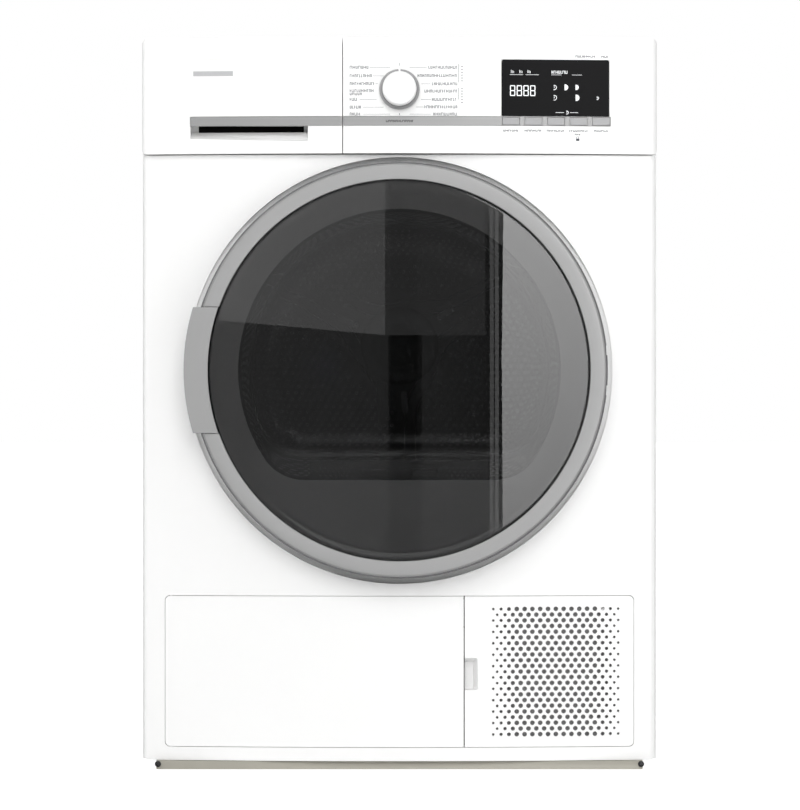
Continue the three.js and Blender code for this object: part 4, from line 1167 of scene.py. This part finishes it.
        outside = [loop(184.4, 125.4, 55, -288.0), loop(173.2, 97.2, 48.6, -288.0), loop(172, 96, 48, -286.6)]
        inside = [loop(184.4, 125.4, 55, -291.0), loop(172.6, 96.4, 47.4, -291.0),
                  loop(170.2, 94.1, 46.2, -290.2),
                  loop(168.8, 92.8, 46, -287.6)]
        depth = [(-262, 0.8), (-236, 2.2), (-222, 4.2), (-214, 7.0), (-209, 11.5), (-206, 18.5), (-204.2, 30),
                 (-203.4, 50), (-203.1, 76)]
        for y, d in depth:
            outside.append(loop(172 - d, 96 - d * 0.55, 48 - d * 0.35, y))
            inside.append(loop(169 - d, 93 - d * 0.55, 46 - d * 0.35, y - 3))
        for k in (0.82, 0.64, 0.46, 0.28, 0.12, 0.02):
            for rings, y in ((outside, -203.1), (inside, -206.1)):
                rings.append([(x * k, y, DOOR_Z + z * k) for x, z in mouth(96, 54.2, 21.4)])
        shell = through(list(reversed(inside)) + outside)
        fit(shell, "door_bowl_glass", "door", "clear_glass", ["door_bowl"], 60, False)

    def handle(self, s):
        """Grip that runs along the left edge of the ring."""
        z, steps = DOOR_Z, s["steps"]
        face = cut(rod(0, z, 246.7, -302, -296.8, steps), rod(0, z, 219.3, -310, -290, steps))
        lip = cut(rod(0, z, 246.7, -298, -290, steps), rod(0, z, 243.6, -310, -280, steps))
        grip = common(join(face, lip), block(-260, -150, -310, -280, z - 72, z + 72))
        soften(grip, 1.0, 4, 40)
        fit(grip, "door_handle_grip", "door", "grey_lacquer", ["door_handle"])


# ------------------------------------------------------------------ drum room
class DRYER_OT_drum_room(bpy.types.Operator):
    """Drum, its back with dimples and arms, bulkhead, lint filter, rollers and front felt"""

    bl_idname = "dryer.drum_room"
    bl_label = "Drum and bulkhead"

    def execute(self, context):
        s = sizes()
        self.shell()
        self.back(s)
        self.lifters()
        refit("drum_shaft", "drum", "bright_steel", 0.5, 2)
        refit("front_bulkhead", "cabinet", "light_moulding", 0.5, 2)
        self.filter()
        for side in ("left", "right"):
            c = middle(f"roller_{side}")
            wheel = turned([(5.4, -202), (12, -202), (13.5, -201.2), (14, -198), (26, -198), (27, -199.4),
                            (29.2, -200),
                            (30, -199.2), (30, -181.8), (29.2, -181), (27, -181.6), (26, -183), (14, -183),
                            (13.5, -179.6), (12, -179), (5.4, -179)], c.x, c.z, 72)
            fit(wheel, f"roller_{side}_wheel", f"roller_{side}", "soft_rubber", [f"roller_{side}"])
        felt = turned([(252.4, -208.8), (255.4, -208.8), (255.4, -205.6), (252.4, -205.6)], 0, DRUM_Z, 160)
        soften(felt, 0.8, 2, 40)
        fit(felt, "drum_front_felt", "cabinet", "felt")
        return {"FINISHED"}

    def shell(self):
        """Drum shell with rolled beads."""
        r = 278.0
        outer = [(r, -205), (r, -182), (r, -150)]
        for y in (-110, 20, 150):
            outer += [(r, y - 8), (r - 1.6, y - 4), (r - 2.2, y), (r - 1.6, y + 4), (r, y + 8)]
        outer += [(r, 235)]
        inner = [(a - 1.0, b) for a, b in reversed(outer[1:])] + [(r - 1, -204), (256, -204), (256, -205)]
        tube = turned(outer + inner, 0, DRUM_Z, 160)
        fit(tube, "drum_shell_sheet", "drum", "drum_steel", ["drum_shell"], 30, False)

    def lifters(self):
        """Three rounded lifters."""
        for k in range(3):
            bm = bmesh.new()
            rings = []
            for y, grow in ((-186, 0.55), (-176, 0.9), (-120, 1.0), (12, 1.0), (150, 1.0), (206, 0.9),
                            (216, 0.55)):
                pts = []
                for x, h in ((-30, 1.5), (-22, 12), (-13, 36), (-8, 49), (0, 54), (8, 49), (13, 36),
                             (22, 12), (30, 1.5)):
                    pts.append((x * grow, y, -276.6 + h * grow))
                verts = [bm.verts.new(p) for p in pts]
                rings.append([bm.edges.new((a, b)) for a, b in zip(verts, verts[1:] + verts[:1])])
                if y in (-186, 216):
                    bm.faces.new(verts)
            for a, b in zip(rings, rings[1:]):
                bmesh.ops.bridge_loops(bm, edges=a + b)
            turn = Matrix.Rotation(math.radians(30 + 120 * k), 3, "Y")
            bmesh.ops.rotate(bm, cent=(0, 0, 0), matrix=turn, verts=bm.verts)
            bmesh.ops.translate(bm, vec=(0, 0, DRUM_Z), verts=bm.verts)
            ob = keep(bm)
            ob.name = f"lifter_{k}"
            fit(ob, f"drum_lifter_{k + 1}", "drum", "grey_moulding", (), 60, False)
            ob.modifiers.new("round", "SUBSURF").levels = 1
            ob.modifiers["round"].render_levels = 1

    def back(self, s):
        """Drum back: dimpled fields, three smooth arms and a hub."""
        y = 227.0
        disc = turned([(0, y), (268, y), (271, y + 0.6), (273.6, y + 3), (275, y + 8), (276.6, y + 8),
                       (276.6, y + 7),
                       (275, y + 2.2), (272, y + 0.4 - 0.2), (0, y + 2)][:8] + [(274.6, y + 2.4), (0, y + 2)],
                      0, DRUM_Z, 160)
        fit(disc, "drum_back_disc", "drum", "drum_steel", ["drum_back"], 30, False)
        left = [(6.5, -262), (6.5, -118), (7.5, -88), (13, -66), (24, -46), (34, -26), (44, -4), (56, 14),
                (84, 32)]
        right = [(21.5, -262), (21.5, -118), (23, -92), (28, -74), (40, -52), (50, -30), (56, -14), (66, 2),
                 (116, 34)]
        arms = []
        for k in range(3):
            turn = Matrix.Rotation(FULL * k / 3, 2)
            outline = [tuple(turn @ Vector(p)) for p in left + list(reversed(right))]
            arms.append(plate(outline, 225.2, 227.6, DRUM_Z))
        star = arms[0]
        join(star, arms[1], arms[2], rod(0, DRUM_Z, 58, 224.4, 227.6, 96))
        soften(star, 0.9, 3, 35)
        fit(star, "drum_back_arms", "drum", "drum_steel")
        # thin bright wires along the arm edges: painted highlights on the rounded edges of the arms
        beads = []
        for k in range(3):
            turn = Matrix.Rotation(FULL * k / 3, 2)
            for side in (left, right):
                path = [turn @ Vector(p) for p in side]
                beads.append(wire([(p.x, 225.0, p.y + DRUM_Z) for p in path], 0.75))
        fit(bundle(beads), "drum_arm_highlight_beads", "drum", "air_rim_painted_highlight", (), 60, False)
        hub = turned([(0, 222.7), (20, 222.7), (24, 223.2), (27, 224.0), (34, 224.0), (36, 223.2),
                      (46, 223.0),
                      (50, 223.3), (52, 224.2), (0, 224.2)], 0, DRUM_Z, 96)
        fit(hub, "drum_hub_cap", "drum", "drum_steel", (), 40, False)
        ovals = []
        for k in range(3):
            a = math.radians(35) + FULL * k / 3
            c = Vector((math.cos(a), math.sin(a))) * 76
            ovals.append(plate([(c.x + px * math.cos(a) - pz * math.sin(a), c.y + px * math.sin(a)
                                 + pz * math.cos(a))
                                for px, pz in soft_box(-15, 15, -4.4, 4.4, 4.3, 8)], 223.6, 224.6, DRUM_Z))
        plates = bundle(ovals)
        soften(plates, 0.35, 2, 40)
        fit(plates, "drum_arm_plates", "drum", "bright_steel")
        self.dimples(s, y)

    def dimples(self, s, y):
        """Pressed air holes in the fields between the arms: bright rims painted as highlight, black centres
        painted as shade.
        """
        bm = bmesh.new()
        dark = bmesh.new()
        pitch = s["drum"]
        rows = int(252 / (pitch * 0.866))
        for row in range(-rows, rows + 1):
            z = row * pitch * 0.866
            for column in range(-30, 31):
                x = (column + 0.5 * (row % 2)) * pitch
                r = math.hypot(x, z)
                if r < 74 or r > 246:
                    continue
                a = (math.atan2(z, x) + math.pi / 2 + math.pi / 3) % (FULL / 3) - math.pi / 3
                if abs(math.sin(a) * r - 14) < (20 if r < 190 else 30) and abs(a) < 1.0:
                    continue
                turn = Matrix.Rotation(math.pi / 2, 4, "X")
                bmesh.ops.create_cone(bm, cap_ends=True, segments=10, radius1=1.5, radius2=2.7, depth=1.1,
                                      matrix=Matrix.Translation((x, y - 0.5, z + DRUM_Z)) @ turn)
                bmesh.ops.create_cone(dark, cap_ends=True, segments=8, radius1=0.8, radius2=0.8, depth=0.4,
                                      matrix=Matrix.Translation((x, y - 1.0, z + DRUM_Z)) @ turn)
        # bright rims are painted highlight; the black discs are painted shade for the dark of the holes
        fit(keep(bm), "drum_air_rims", "drum", "air_rim_painted_highlight", (), 30, False)
        fit(keep(dark), "drum_air_holes_painted_shade", "drum", "painted_shade_black", (), 30, False)

    def filter(self):
        """Lint filter head with two finger slots and fine screens."""
        refit("lint_filter", "cabinet", "smoke_moulding", 1.2, 3)
        bm = bmesh.new()
        for side in (-1, 1):
            for row in range(3):
                for column in range(7):
                    x = side * (55 + column * 6.2 + 3.1 * (row % 2))
                    bmesh.ops.create_cone(bm, cap_ends=True, segments=8, radius1=1.5, radius2=1.1, depth=0.5,
                                          matrix=Matrix.Translation((x, -247.1, 340.5 + row * 5.2))
                                          @ Matrix.Rotation(math.pi / 2, 4, "X"))
        fit(keep(bm), "filter_head_studs", "cabinet", "grey_moulding", (), 30, False)
        mesh_bars = []
        for k in range(30):
            x = -92 + 184 * (k + 0.5) / 30
            mesh_bars.append(block(x - 0.35, x + 0.35, -219.6, -218.9, 238, 331))
        for k in range(16):
            z = 238 + 93 * (k + 0.5) / 16
            mesh_bars.append(block(-93, 93, -220.2, -219.7, z - 0.35, z + 0.35))
        fit(bundle(mesh_bars), "filter_screen_mesh", "cabinet", "light_moulding")


# ------------------------------------------------------------------ works
class DRYER_OT_works(bpy.types.Operator):
    """Machine parts inside the case: drive, fans, heat pump, board and guide"""

    bl_idname = "dryer.works"
    bl_label = "Works"

    def execute(self, context):
        listed = (
            ("motor_housing", "cabinet", "zinc_sheet", 0.8, "zinc_sheet"),
            ("motor_shaft", "motor_rotor", "bright_steel", 0.5, "steel"),
            ("fan_wheel", "motor_rotor", "light_moulding", 0.3, "bulkhead_plastic"),
            ("fan_housing", "cabinet", "black_moulding", 1.2, "dark_plastic"),
            ("tensioner_arm", "tensioner", "zinc_sheet", 0.5, "zinc_sheet"),
            ("idler_pulley", "idler", "light_moulding", 0.4, "bulkhead_plastic"),
            ("cooling_fan", "cooling_rotor", "black_moulding", 0.4, "bulkhead_plastic"),
            ("evaporator", "cabinet", "fin_metal", 0.5, "aluminium_fin"),
            ("condenser", "cabinet", "fin_metal", 0.5, "aluminium_fin"),
            ("exchanger_cover", "cabinet", "black_moulding", 2.0, "dark_plastic"),
            ("exchanger_latch_left", "latch_left", "grey_moulding", 0.7, "latch_grey"),
            ("exchanger_latch_right", "latch_right", "grey_moulding", 0.7, "latch_grey"),
            ("compressor", "cabinet", "black_paint", 3.0, "black_paint"),
            ("tank_bay", "cabinet", "zinc_sheet", 0.3, "zinc_sheet"),
            ("drive_belt", "cabinet", "belt_rubber", 0.3, "rubber"),
            ("control_board", "cabinet", "board", 0.3, "board_green"),
        )
        for node, body, look, width, slot in listed:
            refit(node, body, look, width, 2)
        self.pipes()
        self.screws()
        return {"FINISHED"}

    def pipes(self):
        """Copper pipes between the compressor and the exchangers."""
        routes = {
            "suction_pipe": [(175, -110, 186), (175, -110, 206), (120, -116, 206), (20, -130, 204),
                             (-60, -140, 204),
                             (-60, -140, 186)],
            "pressure_pipe": [(150, -80, 182), (150, -80, 196), (120, -40, 198), (20, 0, 198), (-62, 20, 198),
                              (-62, 20, 186)],
        }
        for name, points in routes.items():
            ob = wire(points, 3.2)
            fit(ob, name, "cabinet", "copper", (), 60, False)

    def screws(self):
        """Cross-head screws on the rear and at the foot of the front."""
        rear = []
        y = span("rear_panel")[1].y
        for x in (-284, 284):
            for z in (40, 180, 330, 480, 630, 790):
                rear.append((x * 0.985, y + 1.8, z, 1))
        for x in (-180, 0, 180):
            rear.append((x, y, 808, 1))
        cover = span("rear_duct_cover")[0].y + 1.8
        for k in range(7):
            a = math.radians(-10 + 40 * k)
            rear.append((219 * math.cos(a), cover, DRUM_Z + 219 * math.sin(a), 1))
        self.screw_set("rear_screws", rear, "bright_steel", "steel")
        tray = span("base_tray")[0].y
        self.screw_set("front_base_screws", [(-279, tray, 7.2, -1), (279, tray, 7.2, -1)], "black_paint",
                       "dark_plastic")

    def screw_set(self, name, places, look, slot):
        """Pan heads with a cross recess, facing forwards or backwards."""
        bm = bmesh.new()
        for x, y, z, way in places:
            head = turned([(0, -0.6), (3.6, -0.6), (3.6, 0.6), (3.1, 1.5), (2.0, 2.0), (0, 2.1)], 0, 0, 20)
            cross = join(block(-0.45, 0.45, 1.2, 3, -2.2, 2.2), block(-2.2, 2.2, 1.2, 3, -0.45, 0.45))
            cut(head, cross)
            mesh = head.data
            turn = Matrix.Rotation(0.0 if way > 0 else math.pi, 4, "Z")
            mesh.transform(Matrix.Translation((x, y, z)) @ turn @ Matrix.Rotation(0.5 + x * 0.1, 4, "Y"))
            bm.from_mesh(mesh)
            bpy.data.objects.remove(head)
        fit(keep(bm), name, "cabinet", look, (), 40, False)


# ------------------------------------------------------------------ stage
def lit_card(name, corners, y, axis, low, high, passing=False):
    """A glowing card for polished surfaces, from one strength to another along X or Z."""
    bm = bmesh.new()
    bm.faces.new([bm.verts.new((x, y, z)) for x, z in corners])
    mesh = bpy.data.meshes.new(name)
    bm.to_mesh(mesh)
    bm.free()
    ob = bpy.data.objects.new(name, mesh)
    bpy.context.scene.collection.objects.link(ob)
    mat = bpy.data.materials.new(name)
    mat.use_nodes = True
    tree = mat.node_tree
    tree.nodes.clear()
    out = tree.nodes.new("ShaderNodeOutputMaterial")
    glow = tree.nodes.new("ShaderNodeEmission")
    place = tree.nodes.new("ShaderNodeTexCoord")
    split = tree.nodes.new("ShaderNodeSeparateXYZ")
    ramp = tree.nodes.new("ShaderNodeMapRange")
    ends = [corner["XZ".index(axis)] for corner in corners]
    ramp.inputs["From Min"].default_value = min(ends)
    ramp.inputs["From Max"].default_value = max(ends)
    ramp.inputs["To Min"].default_value = low
    ramp.inputs["To Max"].default_value = high
    tree.links.new(place.outputs["Object"], split.inputs[0])
    tree.links.new(split.outputs[axis], ramp.inputs["Value"])
    tree.links.new(ramp.outputs[0], glow.inputs["Strength"])
    tree.links.new(glow.outputs[0], out.inputs["Surface"])
    mesh.materials.append(mat)
    ob.visible_camera = False
    ob.visible_diffuse = False
    ob.visible_shadow = False
    ob.visible_transmission = passing
    ob.visible_volume_scatter = False
    return ob


class DRYER_OT_stage(bpy.types.Operator):
    """Pale floor, soft light and the camera"""

    bl_idname = "dryer.stage"
    bl_label = "Stage"

    def execute(self, context):
        look = context.scene.dryer_lights
        floor_mesh = bpy.data.meshes.new("floor")
        bm = bmesh.new()
        bmesh.ops.create_grid(bm, x_segments=1, y_segments=1, size=30.0)
        bm.to_mesh(floor_mesh)
        bm.free()
        floor = bpy.data.objects.new("floor", floor_mesh)
        context.scene.collection.objects.link(floor)
        mat = bpy.data.materials.new("floor_paint")
        mat.use_nodes = True
        paint = mat.node_tree.nodes["Principled BSDF"]
        paint.inputs["Base Color"].default_value = (*look.floor_colour, 1)
        paint.inputs["Roughness"].default_value = 0.9
        path = mat.node_tree.nodes.new("ShaderNodeLightPath")
        glow = mat.node_tree.nodes.new("ShaderNodeMath")
        glow.operation = "MULTIPLY_ADD"
        glow.inputs[1].default_value = look.floor_glow
        glow.inputs[2].default_value = 0.1
        mat.node_tree.links.new(path.outputs["Is Camera Ray"], glow.inputs[0])
        mat.node_tree.links.new(glow.outputs[0], paint.inputs["Emission Strength"])
        paint.inputs["Emission Color"].default_value = (1, 1, 1, 1)
        floor_mesh.materials.append(mat)
        floor.visible_glossy = False

        world = bpy.data.worlds.new("studio")
        world.use_nodes = True
        context.scene.world = world
        tree = world.node_tree
        back = tree.nodes["Background"]
        back.inputs["Color"].default_value = (1, 1, 1, 1)
        back.inputs["Strength"].default_value = look.room
        seen = tree.nodes.new("ShaderNodeBackground")
        seen.inputs["Color"].default_value = (1, 1, 1, 1)
        seen.inputs["Strength"].default_value = 1.0
        mix = tree.nodes.new("ShaderNodeMixShader")
        path = tree.nodes.new("ShaderNodeLightPath")
        tree.links.new(path.outputs["Is Camera Ray"], mix.inputs[0])
        tree.links.new(back.outputs[0], mix.inputs[1])
        tree.links.new(seen.outputs[0], mix.inputs[2])
        tree.links.new(mix.outputs[0], tree.nodes["World Output"].inputs["Surface"])

        self.lamp("front_light", (0.0, -4.4, 3.3), (0, 0, 0.4), 3.6, look.front * 1.2)
        self.lamp("left_light", (-3.2, -2.2, 2.4), (0, 0, 0.4), 1.8, look.front * 0.35)
        self.lamp("right_light", (3.2, -1.6, 2.2), (0, 0, 0.4), 1.8, look.front * 0.22)
        self.lamp("back_light", (1.6, 3.2, 2.6), (0, 0, 0.4), 2.2, look.front * 0.3)

        y = -5.6
        lit_card("dark_card", [(-1.5, -1.2), (1.5, -1.2), (1.5, 2.0), (-1.5, 2.0)], y - 0.06, "X", 0.42,
                 0.01, True)
        lit_card("centre_card", [(-0.06, -1.2), (0.12, -1.2), (0.12, 2.0), (-0.06, 2.0)], y - 0.045, "Z",
                 0.05, 0.02, True)
        lit_card("upper_card", [(-1.5, 0.84), (-0.078, 0.71), (-0.078, 2.4), (-1.5, 2.4)], y - 0.03, "X",
                 1.35, 1.05)
        lit_card("middle_card", [(-0.078, 0.71), (0.46, 0.71), (0.46, 2.4), (-0.078, 2.4)], y - 0.03, "Z",
                 0.4, 0.4)
        lit_card("edge_card_a", [(0.482, -1.2), (0.503, -1.2), (0.503, 2.4), (0.482, 2.4)], y, "Z", 1.1, 1.1)
        lit_card("edge_card_b", [(0.509, -1.2), (0.53, -1.2), (0.53, 2.4), (0.509, 2.4)], y, "Z", 1.3, 1.3)
        lit_card("window_card", [(0.56, -1.2), (2.6, -1.2), (2.6, 2.6), (0.575, 2.6), (0.545, 0.6)], y, "Z",
                 1.7, 9.5)

        camera = bpy.data.objects.new("camera", bpy.data.cameras.new("camera"))
        context.scene.collection.objects.link(camera)
        context.scene.camera = camera
        camera.location = (0.0006, BAND_FACE / 1000 - look.distance, 0.4217)
        camera.rotation_euler = (math.pi / 2, 0, 0)
        camera.data.sensor_width = 36.0
        camera.data.lens = 18.0 / (0.466 / look.distance)
        camera.data.clip_end = 100.0
        context.scene.view_settings.view_transform = "Standard"
        return {"FINISHED"}

    def lamp(self, name, place, target, size, power):
        """A large soft area light aimed at a point."""
        light = bpy.data.lights.new(name, "AREA")
        light.shape = "SQUARE"
        light.size = size
        light.energy = power
        ob = bpy.data.objects.new(name, light)
        ob.location = place
        ob.rotation_euler = (Vector(target) - Vector(place)).to_track_quat("-Z", "Y").to_euler()
        ob.visible_glossy = False
        ob.visible_camera = False
        bpy.context.scene.collection.objects.link(ob)


class DRYER_PT_panel(bpy.types.Panel):
    """Sidebar panel that lists the dryer's build steps"""

    bl_idname = "DRYER_PT_panel"
    bl_label = "Dryer"
    bl_space_type = "VIEW_3D"
    bl_region_type = "UI"
    bl_category = "Dryer"

    def draw(self, context):
        column = self.layout.column()
        for name in DryerSizes.__annotations__:
            column.prop(context.scene.dryer_sizes, name)
        for name in DryerLights.__annotations__:
            column.prop(context.scene.dryer_lights, name)
        for step in STEPS:
            column.operator(step.bl_idname)


STEPS = (DRYER_OT_case, DRYER_OT_drawer, DRYER_OT_control_panel, DRYER_OT_kick, DRYER_OT_door,
         DRYER_OT_drum_room, DRYER_OT_works, DRYER_OT_stage)
CLASSES = (DryerSizes, DryerLights, *STEPS, DRYER_PT_panel)


def register():
    """Registers the classes and their settings."""
    for cls in CLASSES:
        bpy.utils.register_class(cls)
    bpy.types.Scene.dryer_sizes = PointerProperty(type=DryerSizes)
    bpy.types.Scene.dryer_lights = PointerProperty(type=DryerLights)


def unregister():
    """Removes the settings and the classes."""
    del bpy.types.Scene.dryer_lights
    del bpy.types.Scene.dryer_sizes
    for cls in reversed(CLASSES):
        bpy.utils.unregister_class(cls)


def main():
    """Builds the dryer on its stage."""
    register()
    for step in STEPS:
        group, name = step.bl_idname.split(".")
        getattr(getattr(bpy.ops, group), name)()


if __name__ == "__main__":
    main()
